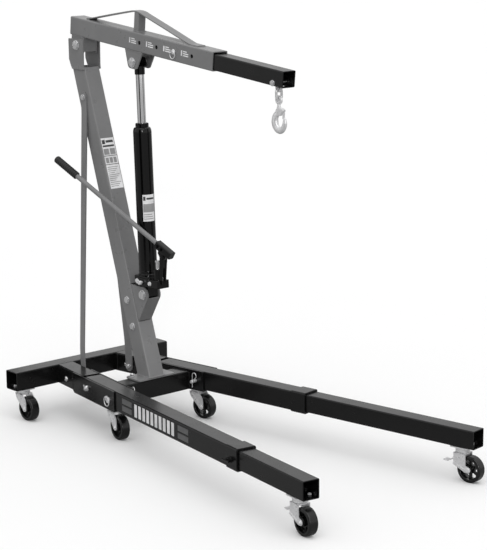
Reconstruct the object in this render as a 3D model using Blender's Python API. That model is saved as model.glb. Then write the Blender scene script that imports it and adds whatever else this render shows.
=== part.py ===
"""Folding engine hoist crane: splayed legs, leaning post, boom with sliding extension, long-ram jack.

Metres, +Z up, +X forward along the boom, +Y to the crane's left. Floor at z = 0.
Legs are modelled in a leg frame (d along the leg, w outwards, z up) that is turned by the splay angle.
"""
import math

import bmesh
import bpy
from mathutils import Matrix, Vector

# ---- driving dimensions (metres, radians) ----
ORIGIN_X = 0.7642            # the frame's origin, measured forward from the rear beam's back face
GAP = 0.0003                 # air between neighbouring solids
RUN = 0.0003                 # running clearance round a pin
WALL = 0.003

FRAME_TOP = 0.170
REAR_DEPTH = 0.064
REAR_LENGTH = 0.640
TUBE = 0.064                 # height of the frame and leg tubes
FRAME_BOTTOM = FRAME_TOP - TUBE

SPLAY = math.radians(8.67)
LEG_ROOT_Y = 0.121           # leg centre line where it meets the rear beam
STUB_END = 0.1795
CHANNEL_START = 0.120
CHANNEL_END = 0.405
CHANNEL_PLATE = 0.004
CHANNEL_HALF = 0.0315        # half the clear width between the side plates
CHANNEL_WEB_START = 0.262
CHANNEL_BOTTOM = FRAME_BOTTOM - 0.0045

CROSS_REAR = 0.344
CROSS_FRONT = 0.408
CROSS_TOP = 0.1637
CROSS_BOTTOM = 0.100

LEG_WIDTH = 0.062
LEG_START = 0.189
LEG_CHAMFER = 0.008
LEG_END = {"right": 1.136, "left": 0.832}
LEG_WALL = 0.0025
COLLAR_LENGTH = 0.056
COLLAR_WALL = 0.003
LEG_PIVOT_D = 0.220
LEG_PIVOT_Z = FRAME_TOP - TUBE / 2
LOCK_D = 0.370
LOCK_Z = 0.1346
EXT_WIDTH = 0.056
EXT_HEIGHT = 0.058
EXT_FRONT = 1.463
EXT_LENGTH = {"right": 0.600, "left": 0.880}
KNOB_SETBACK = 0.034
KNOB_Z = 0.133

WHEEL_R = 0.041
WHEEL_WIDTH = 0.030
CASTER_TRAIL = 0.030
REAR_CASTER_Y = 0.274
MID_CASTER_D = 0.349
FRONT_CASTER_D = 1.409

POST_WIDTH = 0.062
POST_DEPTH = 0.065
POST_LEAN = math.radians(17.87)
POST_FOOT_X = 0.3775         # post centre line at the base plate
POST_TOP_Z = 1.166
BASE_PLATE_T = 0.006
EAR_T = 0.005
BOOM_PIVOT = Vector((0.053, 0.0, 1.238))

BOOM_REAR = Vector((0.015, 0.0, 1.3005))
BOOM_TILT = math.radians(-5.6)
BOOM_LENGTH = 0.7304
BOOM_HEIGHT = 0.060
BOOM_WIDTH = 0.058
BOOM_EXT = 0.050
BOOM_EXT_REAR = 0.400
BOOM_EXT_FRONT = 1.0418
BOOM_EXT_DROP = 0.0017
PIN_HOLE_1 = 0.370
PIN_PITCH = 0.087
PIN_HOLE_USED = 2

JACK_FOOT = Vector((0.375, 0.0, 0.444))
JACK_HEAD = Vector((0.345, 0.0, 1.200))
JACK_R = 0.030
ROD_R = 0.0136
JACK_PIN_R = 0.008

BRACE_D = 0.065
BRACE_Z = 0.134
BRACE_WIDTH = 0.028
BRACE_T = 0.005
BRACE_TOP_Z = 1.068
WINDOW_TOP = 0.4725          # opening in the post's front for the bracket's web
WINDOW_BOTTOM = 0.325
WINDOW_HALF = 0.0278

BRACKET_INNER = 0.0222
BRACKET_T = 0.005
BRACKET_NOSE_R = 0.027
BRACKET_BACK = 0.022
BRACKET_BOLT_Z = (0.415, 0.330)

LEG_BOLT_R = 0.006           # leg pivots, lock pins and bracket bolts
BRACE_BOLT_R = 0.005
HOOK_BOLT_R = 0.0045
KNOB_SCREW_R = 0.005
BOOM_PIN_R = 0.005

HANDLE_YAW = math.radians(12.0)
HANDLE_RISE = math.radians(29.2)
HANDLE_PIVOT = Vector((0.480, -0.0215, 0.583))
HANDLE_OFFSET = 0.0255       # bar centre line above the link pin
PLUNGER_REACH = 0.026
PLUNGER_R = 0.0060
PLUNGER_HEAD_R = 0.0078
PLUNGER_TOP = 0.011          # depths below the socket's heel, along the jack
PLUNGER_NECK = 0.017
PLUNGER_FOOT = 0.062
BARREL_TOP = 0.040
BARREL_DEPTH = 0.085
BARREL_FOOT = 0.095
SOCKET_HALF = 0.0125
SOCKET_BORE_R = 0.0083
BAR_R = 0.0079
BAR_START = -0.019
BAR_END = 0.530
LINK_PIN_R = 0.0038

FORK_TOP = 0.0895
FORK_CHEEK = 0.0025
CASTER_BOLT_R = 0.0035
CASTER_BOLTS = [(0.022, 0.0175), (-0.022, 0.0175), (-0.022, -0.0175), (0.022, -0.0175)]
AXLE_R = 0.004
KINGPIN_R = 0.0055

CLEVIS_INNER = 0.0240
STRAP_T = 0.004
UPRIGHT_L = 0.332            # the strap's upright, measured along the boom

JACK_BLOCK_LOW = 0.0300
JACK_BLOCK_HIGH = 0.0640
JACK_TUBE_TOP = 0.5300
GLAND_TOP = 0.5620
GLAND_R = 0.0190
GLAND_RIM_R = 0.0215
SHOULDER_R = 0.0245
RAM_EYE_R = 0.0165
VALVE_X = 0.020
VALVE_Z = 0.047

HOOK_BOLT_L = 1.000
HOOK_BOLT_H = -0.0180
WIRE = 0.0038
LINK_HALF = 0.0170
LINK_SIDE = 0.0105
LINK_PLAY = 0.0006
EYE_WIRE = 0.0045
EYE_R = 0.0095
BOWL = Vector((0.004, 0, -0.0628))
BOWL_X = 0.0215
BOWL_Z = 0.0265
HOOK_FLAT = 0.75             # the hook's width over its depth
HOOK_STATIONS = [(0.0, 0.0050), (0.16, 0.0092), (0.36, 0.0120), (0.62, 0.0105), (0.86, 0.0080), (1.0, 0.0040)]
SIDES = {"right": -1.0, "left": 1.0}

# ---- colours: base colour, metallic, roughness ----
FINISHES = {
    "black_paint": ((0.018, 0.018, 0.019), 0.0, 0.42),
    "grey_paint": ((0.19, 0.19, 0.19), 0.0, 0.45),
    "zinc": ((0.62, 0.63, 0.65), 1.0, 0.34),
    "chrome": ((0.80, 0.80, 0.82), 1.0, 0.08),
    "gloss_black": ((0.012, 0.012, 0.013), 0.0, 0.16),
    "wheel_black": ((0.02, 0.02, 0.02), 0.0, 0.5),
    "grip_rubber": ((0.025, 0.025, 0.025), 0.0, 0.8),
}


# ---- scene and materials ----
def clear_scene():
    for obj in list(bpy.data.objects):
        bpy.data.objects.remove(obj, do_unlink=True)


def finish_material(part_name, finish):
    colour, metallic, roughness = FINISHES[finish]
    mat = bpy.data.materials.new(part_name)
    mat.use_nodes = True
    shader = mat.node_tree.nodes["Principled BSDF"]
    shader.inputs["Base Color"].default_value = (*colour, 1.0)
    shader.inputs["Metallic"].default_value = metallic
    shader.inputs["Roughness"].default_value = roughness
    return mat


# ---- solids ----
def solid_from(bm, name="solid"):
    bmesh.ops.remove_doubles(bm, verts=bm.verts, dist=1e-7)
    bmesh.ops.recalc_face_normals(bm, faces=bm.faces)
    mesh = bpy.data.meshes.new(name)
    bm.to_mesh(mesh)
    bm.free()
    obj = bpy.data.objects.new(name, mesh)
    bpy.context.scene.collection.objects.link(obj)
    return obj


def box(low, high):
    bm = bmesh.new()
    bmesh.ops.create_cube(bm, size=1.0)
    size = [h - l for l, h in zip(low, high)]
    middle = [(h + l) / 2 for l, h in zip(low, high)]
    bmesh.ops.scale(bm, vec=size, verts=bm.verts)
    bmesh.ops.translate(bm, vec=middle, verts=bm.verts)
    return solid_from(bm)


def prism(outline, low, high, plane="xz"):
    """Extrude a closed outline from low to high along the axis its plane leaves out."""
    place = {
        "xz": lambda a, b, c: (a, c, b),
        "xy": lambda a, b, c: (a, b, c),
        "yz": lambda a, b, c: (c, a, b),
    }[plane]
    bm = bmesh.new()
    first = [bm.verts.new(place(a, b, low)) for a, b in outline]
    face = bm.faces.new(first)
    extruded = bmesh.ops.extrude_face_region(bm, geom=[face])
    moved = [v for v in extruded["geom"] if isinstance(v, bmesh.types.BMVert)]
    bmesh.ops.translate(bm, vec=place(0, 0, high - low), verts=moved)
    return solid_from(bm)


def rod(start, end, radius, sides=16, end_radius=None):
    start, end = Vector(start), Vector(end)
    bm = bmesh.new()
    top = radius if end_radius is None else end_radius
    bmesh.ops.create_cone(bm, cap_ends=True, segments=sides, radius1=radius, radius2=top,
                          depth=(end - start).length)
    turn = (end - start).to_track_quat("Z", "Y").to_matrix().to_4x4()
    bmesh.ops.transform(bm, matrix=Matrix.Translation((start + end) / 2) @ turn, verts=bm.verts)
    return solid_from(bm)


def loft(sections):
    """Join rings of equal length into one closed skin."""
    bm = bmesh.new()
    rings = [[bm.verts.new(p) for p in ring] for ring in sections]
    bm.faces.new(rings[0])
    bm.faces.new(rings[-1])
    count = len(rings[0])
    for lower, upper in zip(rings, rings[1:]):
        for i in range(count):
            j = (i + 1) % count
            bm.faces.new((lower[i], lower[j], upper[j], upper[i]))
    return solid_from(bm)


def swept(path, radius, sides=8, closed=False, flat=None, flatten=1.0):
    """Sweep a round wire along a path that lies in the plane normal to flat."""
    flat = Vector(flat or (0, 1, 0))
    bm = bmesh.new()
    rings = []
    total = len(path)
    for k, point in enumerate(path):
        r = radius(k / (total - 1)) if callable(radius) else radius
        before = path[(k - 1) % total] if closed else path[max(k - 1, 0)]
        after = path[(k + 1) % total] if closed else path[min(k + 1, total - 1)]
        along = (Vector(after) - Vector(before)).normalized()
        side = flat.cross(along).normalized()
        ring = []
        for i in range(sides):
            t = 2 * math.pi * (i + 0.5) / sides
            offset = side * r * math.cos(t) + flat * r * flatten * math.sin(t)
            ring.append(bm.verts.new(Vector(point) + offset))
        rings.append(ring)
    pairs = list(zip(rings, rings[1:]))
    if closed:
        pairs.append((rings[-1], rings[0]))
    else:
        bm.faces.new(rings[0])
        bm.faces.new(rings[-1])
    for lower, upper in pairs:
        for i in range(sides):
            j = (i + 1) % sides
            bm.faces.new((lower[i], lower[j], upper[j], upper[i]))
    return solid_from(bm)


def circle_path(centre, radius, count):
    """Points round a circle that stands in the XZ plane."""
    turns = [2 * math.pi * k / count for k in range(count)]
    return [Vector(centre) + Vector((radius * math.cos(t), 0, radius * math.sin(t))) for t in turns]


def boolean(obj, tools, operation):
    for tool in tools:
        mod = obj.modifiers.new("cut", "BOOLEAN")
        mod.operation = operation
        mod.solver = "EXACT"
        mod.object = tool
        bpy.context.view_layer.update()
        shape = bpy.data.meshes.new_from_object(obj.evaluated_get(bpy.context.evaluated_depsgraph_get()))
        obj.modifiers.clear()
        obj.data = shape
        bpy.data.objects.remove(tool, do_unlink=True)
    return obj


def join(first, *others):
    return boolean(first, others, "UNION")


def cut(obj, *tools):
    return boolean(obj, tools, "DIFFERENCE")


def move(obj, matrix):
    obj.data.transform(matrix)
    if matrix.determinant() < 0:
        obj.data.flip_normals()
    return obj


def part(name, obj, finish, pivot=(0.0, 0.0, 0.0), smooth=35.0):
    """Name a finished solid, colour it and put its origin on its joint."""
    pivot = Vector(pivot)
    bm = bmesh.new()
    bm.from_mesh(obj.data)
    bmesh.ops.remove_doubles(bm, verts=bm.verts, dist=1e-6)
    bmesh.ops.dissolve_degenerate(bm, edges=bm.edges, dist=1e-6)
    bm.to_mesh(obj.data)
    bm.free()
    obj.data.transform(Matrix.Translation(-pivot))
    obj.location = pivot - Vector((ORIGIN_X, 0, 0))
    obj.name = name
    obj.data.name = name
    obj.data.materials.clear()
    obj.data.materials.append(finish_material(name, finish))
    obj.data.shade_smooth()
    obj.data.set_sharp_from_angle(angle=math.radians(smooth))
    return obj


# ---- frames of reference ----
def leg_frame(sign):
    """From (d, w, z) on a leg to the crane: d forwards, w outwards."""
    turn = Matrix.Rotation(SPLAY, 4, "Z")
    place = Matrix.Translation((REAR_DEPTH, LEG_ROOT_Y, 0))
    return Matrix.Diagonal((1, sign, 1, 1)) @ place @ turn


def rear_frame(sign):
    return Matrix.Diagonal((1, sign, 1, 1)) @ Matrix.Translation((REAR_DEPTH / 2, REAR_CASTER_Y, 0))


def tilt_frame(origin, angle):
    """From (along, y, across) of a bar in the middle plane to the crane."""
    return Matrix.Translation(origin) @ Matrix.Rotation(-angle, 4, "Y")


BOOM_FRAME = tilt_frame(BOOM_REAR, BOOM_TILT)
BOOM_LOCAL = BOOM_FRAME.inverted()
POST_FRAME = tilt_frame(Vector((POST_FOOT_X, 0, CROSS_TOP + GAP)), math.pi / 2 + POST_LEAN)
JACK_AXIS = (JACK_HEAD - JACK_FOOT).normalized()
JACK_FRAME = Matrix.Translation(JACK_FOOT) @ Matrix.Rotation(math.atan2(JACK_AXIS.x, JACK_AXIS.z), 4, "Y")
HANDLE_FRAME = Matrix.Translation(HANDLE_PIVOT) @ Matrix.Rotation(math.pi + HANDLE_YAW, 4, "Z")
BOOM_PIN_L = PIN_HOLE_1 + PIN_HOLE_USED * PIN_PITCH

# the chain hangs from the hook bolt; tops are heights above its axis
HOOK_TOP = BOOM_FRAME @ Vector((HOOK_BOLT_L, 0, HOOK_BOLT_H))
LINK_1_TOP = HOOK_BOLT_R + WIRE + 0.0004
LINK_2_TOP = LINK_1_TOP - 2 * LINK_HALF + 2 * WIRE + LINK_PLAY
EYE_TOP = LINK_2_TOP - 2 * LINK_HALF + WIRE + EYE_WIRE + LINK_PLAY
EYE_CENTRE = HOOK_TOP + Vector((0, 0, EYE_TOP - EYE_R))
LATCH_PIVOT = EYE_CENTRE + Vector((0.0215, 0, -0.0350))
LATCH_TIP = EYE_CENTRE + Vector((0.0190, 0, -0.0535))


def post_front(z):
    """The post's front face in side view at height z."""
    rise = z - (CROSS_TOP + GAP)
    return POST_FOOT_X - rise * math.tan(POST_LEAN) + POST_DEPTH / 2 / math.cos(POST_LEAN)


def post_middle(z):
    return post_front(z) - POST_DEPTH / 2 / math.cos(POST_LEAN)


# ---- fasteners, built along +Y from the origin ----
def bolt(length, radius, head=0.006, nut=0.006, wing=False, round_head=False):
    """A bolt through a stack of the given length, head at -Y, nut at +Y."""
    head_r = radius * 1.85
    shank = rod((0, -head, 0), (0, length + nut + 0.004, 0), radius, 12)
    cap = rod((0, -head, 0), (0, -GAP, 0), head_r, 16 if round_head else 6)
    tail = rod((0, length + GAP, 0), (0, length + nut, 0), head_r, 6)
    whole = join(shank, cap, tail)
    if wing:
        for side in (-1, 1):
            blade = prism([(0, -0.004), (side * 0.017, 0.003), (side * 0.017, 0.011), (0, 0.004)],
                          length + 0.0015, length + 0.0045)
            whole = join(whole, blade)
    return whole


def bore(radius, place=(0, 0, 0), sides=12, reach=0.05):
    """Cutter along Y through a place, with running clearance."""
    low, high = Vector(place) - Vector((0, reach, 0)), Vector(place) + Vector((0, reach, 0))
    return rod(low, high, radius + RUN, sides)


# ---- base frame ----
def channel_side(sign):
    """Stub tube, side plates and bottom web that hold one leg, in the leg frame."""
    whole = box((-0.012, -TUBE / 2, FRAME_BOTTOM), (STUB_END, TUBE / 2, FRAME_TOP))
    for side in (-1, 1):
        inner, outer = sorted((side * CHANNEL_HALF, side * (CHANNEL_HALF + CHANNEL_PLATE)))
        whole = join(whole, box((CHANNEL_START, inner, CHANNEL_BOTTOM), (CHANNEL_END, outer, FRAME_TOP)))
    web = box((CHANNEL_WEB_START, -CHANNEL_HALF - 0.001, CHANNEL_BOTTOM),
              (CHANNEL_END, CHANNEL_HALF + 0.001, FRAME_BOTTOM - 0.0005))
    return move(join(whole, web), leg_frame(sign))


def frame_holes(sign):
    """Cutters in the leg frame: stub bore, leg pivot, lock pin and brace bolt."""
    inner = TUBE / 2 - WALL
    cutters = [box((0.003, -inner, FRAME_BOTTOM + WALL), (STUB_END + 0.01, inner, FRAME_TOP - WALL))]
    cutters.append(bore(LEG_BOLT_R, (LEG_PIVOT_D, 0, LEG_PIVOT_Z)))
    cutters.append(bore(LEG_BOLT_R, (LOCK_D, 0, LOCK_Z)))
    cutters.append(bore(BRACE_BOLT_R, (BRACE_D, 0, BRACE_Z)))
    return [move(c, leg_frame(sign)) for c in cutters]


def crossbeam():
    def plate_line(x):
        d = (x - REAR_DEPTH - CHANNEL_HALF * math.sin(SPLAY)) / math.cos(SPLAY)
        return LEG_ROOT_Y + d * math.sin(SPLAY) - (CHANNEL_HALF + CHANNEL_PLATE / 2) * math.cos(SPLAY)
    rear, front = plate_line(CROSS_REAR), plate_line(CROSS_FRONT)
    outline = [(CROSS_REAR, -rear), (CROSS_FRONT, -front), (CROSS_FRONT, front), (CROSS_REAR, rear)]
    return prism(outline, CROSS_BOTTOM, CROSS_TOP, "xy")


def base_frame():
    half = REAR_LENGTH / 2
    beam = box((0, -half, FRAME_BOTTOM), (REAR_DEPTH, half, FRAME_TOP))
    whole = join(beam, channel_side(1), channel_side(-1), crossbeam())
    hollow = box((WALL, -half - 0.01, FRAME_BOTTOM + WALL),
                 (REAR_DEPTH - WALL, half + 0.01, FRAME_TOP - WALL))
    whole = cut(whole, hollow, *frame_holes(1), *frame_holes(-1))
    for sign in (-1, 1):
        whole = cut(whole, *[move(c, rear_frame(sign)) for c in caster_bolt_holes(FRAME_BOTTOM)])
    return part("base_frame", whole, "black_paint")


# ---- legs ----
def leg(side):
    sign, end = SIDES[side], LEG_END[side]
    half = LEG_WIDTH / 2
    c = LEG_CHAMFER
    outline = [(LEG_START + c, FRAME_BOTTOM), (end, FRAME_BOTTOM), (end, FRAME_TOP)]
    outline += [(LEG_START + c, FRAME_TOP), (LEG_START, FRAME_TOP - c), (LEG_START, FRAME_BOTTOM + c)]
    tube = prism(outline, -half, half)
    t = COLLAR_WALL
    collar = box((end - COLLAR_LENGTH, -half - t, FRAME_BOTTOM - t), (end, half + t, FRAME_TOP + t))
    whole = join(tube, collar)
    bore_box = box((LEG_START - 0.01, -half + LEG_WALL, FRAME_BOTTOM + LEG_WALL),
                   (end + 0.01, half - LEG_WALL, FRAME_TOP - LEG_WALL))
    pivot = bore(LEG_BOLT_R, (LEG_PIVOT_D, 0, LEG_PIVOT_Z))
    arc_back = (LOCK_D - LEG_PIVOT_D) * (1 - math.cos(math.radians(13)))
    room = LEG_BOLT_R + 0.0006
    slot = box((LOCK_D - room - arc_back, -0.05, FRAME_BOTTOM - 0.01),
               (LOCK_D + room + 0.0002, 0.05, LOCK_Z + room))
    knob = rod((end - KNOB_SETBACK, 0.02, KNOB_Z), (end - KNOB_SETBACK, 0.05, KNOB_Z), KNOB_SCREW_R + RUN, 12)
    whole = cut(whole, bore_box, pivot, slot, knob)
    frame = leg_frame(sign)
    axis = frame @ Vector((LEG_PIVOT_D, 0, LEG_PIVOT_Z))
    return part("leg_" + side, move(whole, frame), "black_paint", axis)


def leg_extension(side):
    sign = SIDES[side]
    rear = EXT_FRONT - EXT_LENGTH[side]
    half = EXT_WIDTH / 2
    low = FRAME_TOP - TUBE / 2 - EXT_HEIGHT / 2
    high = low + EXT_HEIGHT
    tube = box((rear, -half, low), (EXT_FRONT, half, high))
    hollow = box((rear - 0.01, -half + WALL, low + WALL), (EXT_FRONT + 0.01, half - WALL, high - WALL))
    holes = [move(c, Matrix.Translation((FRONT_CASTER_D, 0, 0))) for c in caster_bolt_holes(low)]
    whole = cut(tube, hollow, *holes)
    frame = leg_frame(sign)
    front = frame @ Vector((EXT_FRONT, 0, low))
    return part("leg_extension_" + side, move(whole, frame), "black_paint", front)


def leg_pivot_bolt(side):
    stack = 2 * (CHANNEL_HALF + CHANNEL_PLATE)
    whole = bolt(stack, LEG_BOLT_R, wing=True)
    frame = leg_frame(SIDES[side])
    place = frame @ Matrix.Translation((LEG_PIVOT_D, -stack / 2, LEG_PIVOT_Z))
    pivot = frame @ Vector((LEG_PIVOT_D, 0, LEG_PIVOT_Z))
    return part("leg_pivot_bolt_" + side, move(whole, place), "zinc", pivot)


def lock_pin(side):
    """Straight pin through channel and leg, pull ring outside, forked tip inside."""
    stack = CHANNEL_HALF + CHANNEL_PLATE
    tip = -stack - 0.022
    whole = rod((0, tip, 0), (0, stack + 0.008, 0), LEG_BOLT_R, 14)
    head = rod((0, stack + GAP, 0), (0, stack + 0.005, 0), 0.011, 16)
    eye = box((-0.0035, stack + 0.004, -0.004), (0.0035, stack + 0.0115, 0.0145))
    ring = swept(circle_path((0, stack + 0.0080, -0.003), 0.0160, 20), 0.0016, 6, True)
    whole = join(whole, head, eye, ring)
    fork = box((-0.0018, tip - 0.01, -0.02), (0.0018, -stack - 0.009, 0.02))
    whole = cut(whole, fork)
    frame = leg_frame(SIDES[side])
    place = frame @ Matrix.Translation((LOCK_D, 0, LOCK_Z))
    return part("leg_lock_pin_" + side, move(whole, place), "zinc", place @ Vector((0, 0, 0)))


def lock_clip(side):
    """Spring clip whose straight leg drops through the fork of the lock pin."""
    y = -CHANNEL_HALF - CHANNEL_PLATE - 0.0155
    loop_z = 0.021
    path = [Vector((0, y, -0.020)), Vector((0, y, -0.004)), Vector((0, y, 0.008))]
    for k in range(15):
        t = math.radians(200 - 20 * k)
        path.append(Vector((0.0085 + 0.0085 * math.cos(t), y, loop_z + 0.010 * math.sin(t))))
    path.append(Vector((0.0105, y, 0.0)))
    whole = swept(path, 0.0013, 6)
    frame = leg_frame(SIDES[side])
    place = frame @ Matrix.Translation((LOCK_D, 0, LOCK_Z))
    return part("leg_lock_clip_" + side, move(whole, place), "zinc", place @ Vector((0, y, 0)))


def extension_knob(side):
    """Clamp screw that holds the leg extension, threaded through the collar."""
    d = LEG_END[side] - KNOB_SETBACK
    face = LEG_WIDTH / 2 + COLLAR_WALL
    tip = LEG_WIDTH / 2 - LEG_WALL + 0.0002
    stem = rod((d, tip, KNOB_Z), (d, face + 0.012, KNOB_Z), KNOB_SCREW_R, 12)
    washer = rod((d, face + GAP, KNOB_Z), (d, face + 0.0025, KNOB_Z), 0.0105, 16)
    grip = rod((d, face + 0.0022, KNOB_Z), (d, face + 0.0125, KNOB_Z), 0.009, 6)
    whole = join(stem, washer, grip)
    bar = rod((d - 0.018, face + 0.0165, KNOB_Z), (d + 0.018, face + 0.0165, KNOB_Z), 0.003, 8)
    neck = rod((d, face + 0.011, KNOB_Z), (d, face + 0.0165, KNOB_Z), 0.005, 10)
    whole = join(whole, neck, bar)
    frame = leg_frame(SIDES[side])
    axis = frame @ Vector((d, face, KNOB_Z))
    return part("extension_knob_" + side, move(whole, frame), "black_paint", axis)


# ---- casters, built round the kingpin with +X the way the wheel trails ----
def caster_bolt_holes(surface):
    return [rod((x, y, surface - 0.006), (x, y, surface + 0.006), CASTER_BOLT_R + 2 * RUN, 6)
            for x, y in CASTER_BOLTS]


def caster_plate(top, bolts_through):
    """Top plate, raceway, kingpin and the mounting bolts' nuts."""
    top = top - GAP
    plate = box((-0.031, -0.028, top - 0.003), (0.031, 0.028, top))
    race = rod((0, 0, FORK_TOP + GAP), (0, 0, top - 0.001), 0.0215, 20)
    kingpin = rod((0, 0, FORK_TOP - 0.0065), (0, 0, top - 0.001), KINGPIN_R, 12)
    flange = rod((0, 0, FORK_TOP - 0.0065), (0, 0, FORK_TOP - 0.0042), 0.010, 12)
    whole = join(plate, race, kingpin, flange)
    for x, y in CASTER_BOLTS:
        if bolts_through:
            shank = rod((x, y, top - 0.001), (x, y, top + 0.005), CASTER_BOLT_R, 6)
            nut = rod((x, y, top + WALL + 2 * GAP), (x, y, top + 0.0085), 0.0060, 6)
            whole = join(whole, shank, nut)
        else:
            head = rod((x, y, top - 0.0065), (x, y, top - 0.002), 0.0055, 6)
            whole = join(whole, head)
    return whole


def caster_fork():
    """Pressed fork with its axle bolt."""
    whole = rod((0, 0, FORK_TOP - 0.0035), (0, 0, FORK_TOP), 0.0225, 20)
    axle = (CASTER_TRAIL, WHEEL_R)
    cheek_low = WHEEL_WIDTH / 2 + FORK_CHEEK
    outline = [(-0.0195, FORK_TOP), (-0.016, FORK_TOP - 0.014)]
    outline += [(axle[0] + 0.0095 * math.cos(t), axle[1] + 0.0095 * math.sin(t))
                for t in [math.radians(a) for a in (205, 235, 270, 305, 335)]]
    outline += [(0.0385, WHEEL_R + 0.02), (0.020, FORK_TOP)]
    for side in (-1, 1):
        low, high = sorted((side * cheek_low, side * (cheek_low + FORK_CHEEK)))
        whole = join(whole, prism(outline, low, high))
    end = cheek_low + 0.0065
    bolt_rod = rod((axle[0], -end, axle[1]), (axle[0], end, axle[1]), AXLE_R, 12)
    head = rod((axle[0], -end, axle[1]), (axle[0], -cheek_low - 0.002, axle[1]), 0.0065, 6)
    nut = rod((axle[0], cheek_low + 0.002, axle[1]), (axle[0], end - 0.0015, axle[1]), 0.0065, 6)
    whole = join(whole, bolt_rod, head, nut)
    return cut(whole, rod((0, 0, FORK_TOP - 0.01), (0, 0, FORK_TOP + 0.01), KINGPIN_R + RUN, 12))


def caster_wheel():
    """Turned wheel: crowned tread, recessed web and a hub, with its bore."""
    half = WHEEL_WIDTH / 2
    profile = [(AXLE_R + RUN, half), (0.012, half), (0.014, half - 0.006), (0.029, half - 0.006)]
    profile += [(0.0315, half - 0.001), (0.0375, half - 0.001), (WHEEL_R, half - 0.006)]
    ring = profile + [(r, -w) for r, w in reversed(profile)]
    turns = 20
    bm = bmesh.new()
    rings = []
    for k in range(turns):
        t = 2 * math.pi * k / turns - math.pi / 2
        rings.append([bm.verts.new((r * math.cos(t), w, r * math.sin(t))) for r, w in ring])
    for k in range(turns):
        near, far = rings[k], rings[(k + 1) % turns]
        for i in range(len(ring)):
            j = (i + 1) % len(ring)
            bm.faces.new((near[i], near[j], far[j], far[i]))
    return move(solid_from(bm), Matrix.Translation((CASTER_TRAIL, 0, WHEEL_R)))


def brake_pedal():
    """Foot pedal hinged on the fork's rear edge."""
    outline = [(-0.0225, 0.062), (-0.030, 0.060), (-0.046, 0.0525), (-0.062, 0.054), (-0.062, 0.0565),
               (-0.046, 0.0555), (-0.032, 0.066), (-0.0225, 0.068)]
    return prism(outline, -0.011, 0.011)


def caster(name, frame, top, bolts_through):
    origin = frame @ Vector((0, 0, 0))
    axle = frame @ Vector((CASTER_TRAIL, 0, WHEEL_R))
    kingpin = origin + Vector((0, 0, FORK_TOP))
    part(name + "_plate", move(caster_plate(top, bolts_through), frame), "zinc", kingpin)
    part(name + "_fork", move(caster_fork(), frame), "zinc", kingpin)
    part(name + "_wheel", move(caster_wheel(), frame), "wheel_black", axle)


def casters():
    ext_bottom = FRAME_TOP - TUBE / 2 - EXT_HEIGHT / 2
    for side, sign in SIDES.items():
        caster("rear_caster_" + side, rear_frame(sign), FRAME_BOTTOM, True)
        mid = leg_frame(sign) @ Matrix.Translation((MID_CASTER_D, 0, 0))
        caster("mid_caster_" + side, mid, CHANNEL_BOTTOM, False)
        front = leg_frame(sign) @ Matrix.Translation((FRONT_CASTER_D, 0, 0))
        caster("front_caster_" + side, front, ext_bottom, True)
        pedal = move(brake_pedal(), front)
        part("brake_pedal_" + side, pedal, "zinc", front @ Vector((-0.026, 0, 0.064)))


# ---- post and its braces ----
def post():
    """Base plate, leaning tube and the head's two ears as one weldment."""
    half = POST_WIDTH / 2
    floor = CROSS_TOP + GAP
    plate = box((POST_FOOT_X - 0.042, -0.075, floor), (CROSS_FRONT + 0.002, 0.075, floor + BASE_PLATE_T))
    length = (POST_TOP_Z + 0.03 - floor) / math.cos(POST_LEAN)
    tube = move(box((-0.03, -half, -POST_DEPTH / 2), (length, half, POST_DEPTH / 2)), POST_FRAME)
    inner = POST_DEPTH / 2 - WALL
    hollow = move(box((-0.03, -half + WALL, -inner), (length + 0.02, half - WALL, inner)), POST_FRAME)
    trim_low = box((0, -0.2, -0.1), (0.8, 0.2, floor + 0.003))
    trim_high = box((-0.2, -0.2, POST_TOP_Z), (0.4, 0.2, 1.4))
    hollow = cut(hollow, box((0, -0.2, -0.1), (0.8, 0.2, floor + BASE_PLATE_T)))
    tube = cut(tube, trim_low, trim_high)
    whole = join(plate, tube)
    ear = [(0.010, 1.258), (0.090, 1.258), (post_front(1.165) + 0.0005, 1.170), (post_front(1.132), 1.132),
           (post_front(1.132) - 0.066, 1.132), (0.024, 1.163), (0.011, 1.182)]
    for side in (-1, 1):
        low, high = sorted((side * (half - 0.0005), side * (half + EAR_T)))
        whole = join(whole, prism(ear, low, high))
    whole = cut(whole, hollow)
    pivot = bore(JACK_PIN_R, BOOM_PIVOT)
    brace_hole = bore(BRACE_BOLT_R, (post_middle(BRACE_TOP_Z), 0, BRACE_TOP_Z))
    window = box((post_front(WINDOW_TOP) - 0.010, -WINDOW_HALF, WINDOW_BOTTOM),
                 (0.45, WINDOW_HALF, WINDOW_TOP))
    whole = cut(whole, pivot, brace_hole, window, *bracket_bolt_bores())
    return part("post", whole, "grey_paint")


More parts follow.
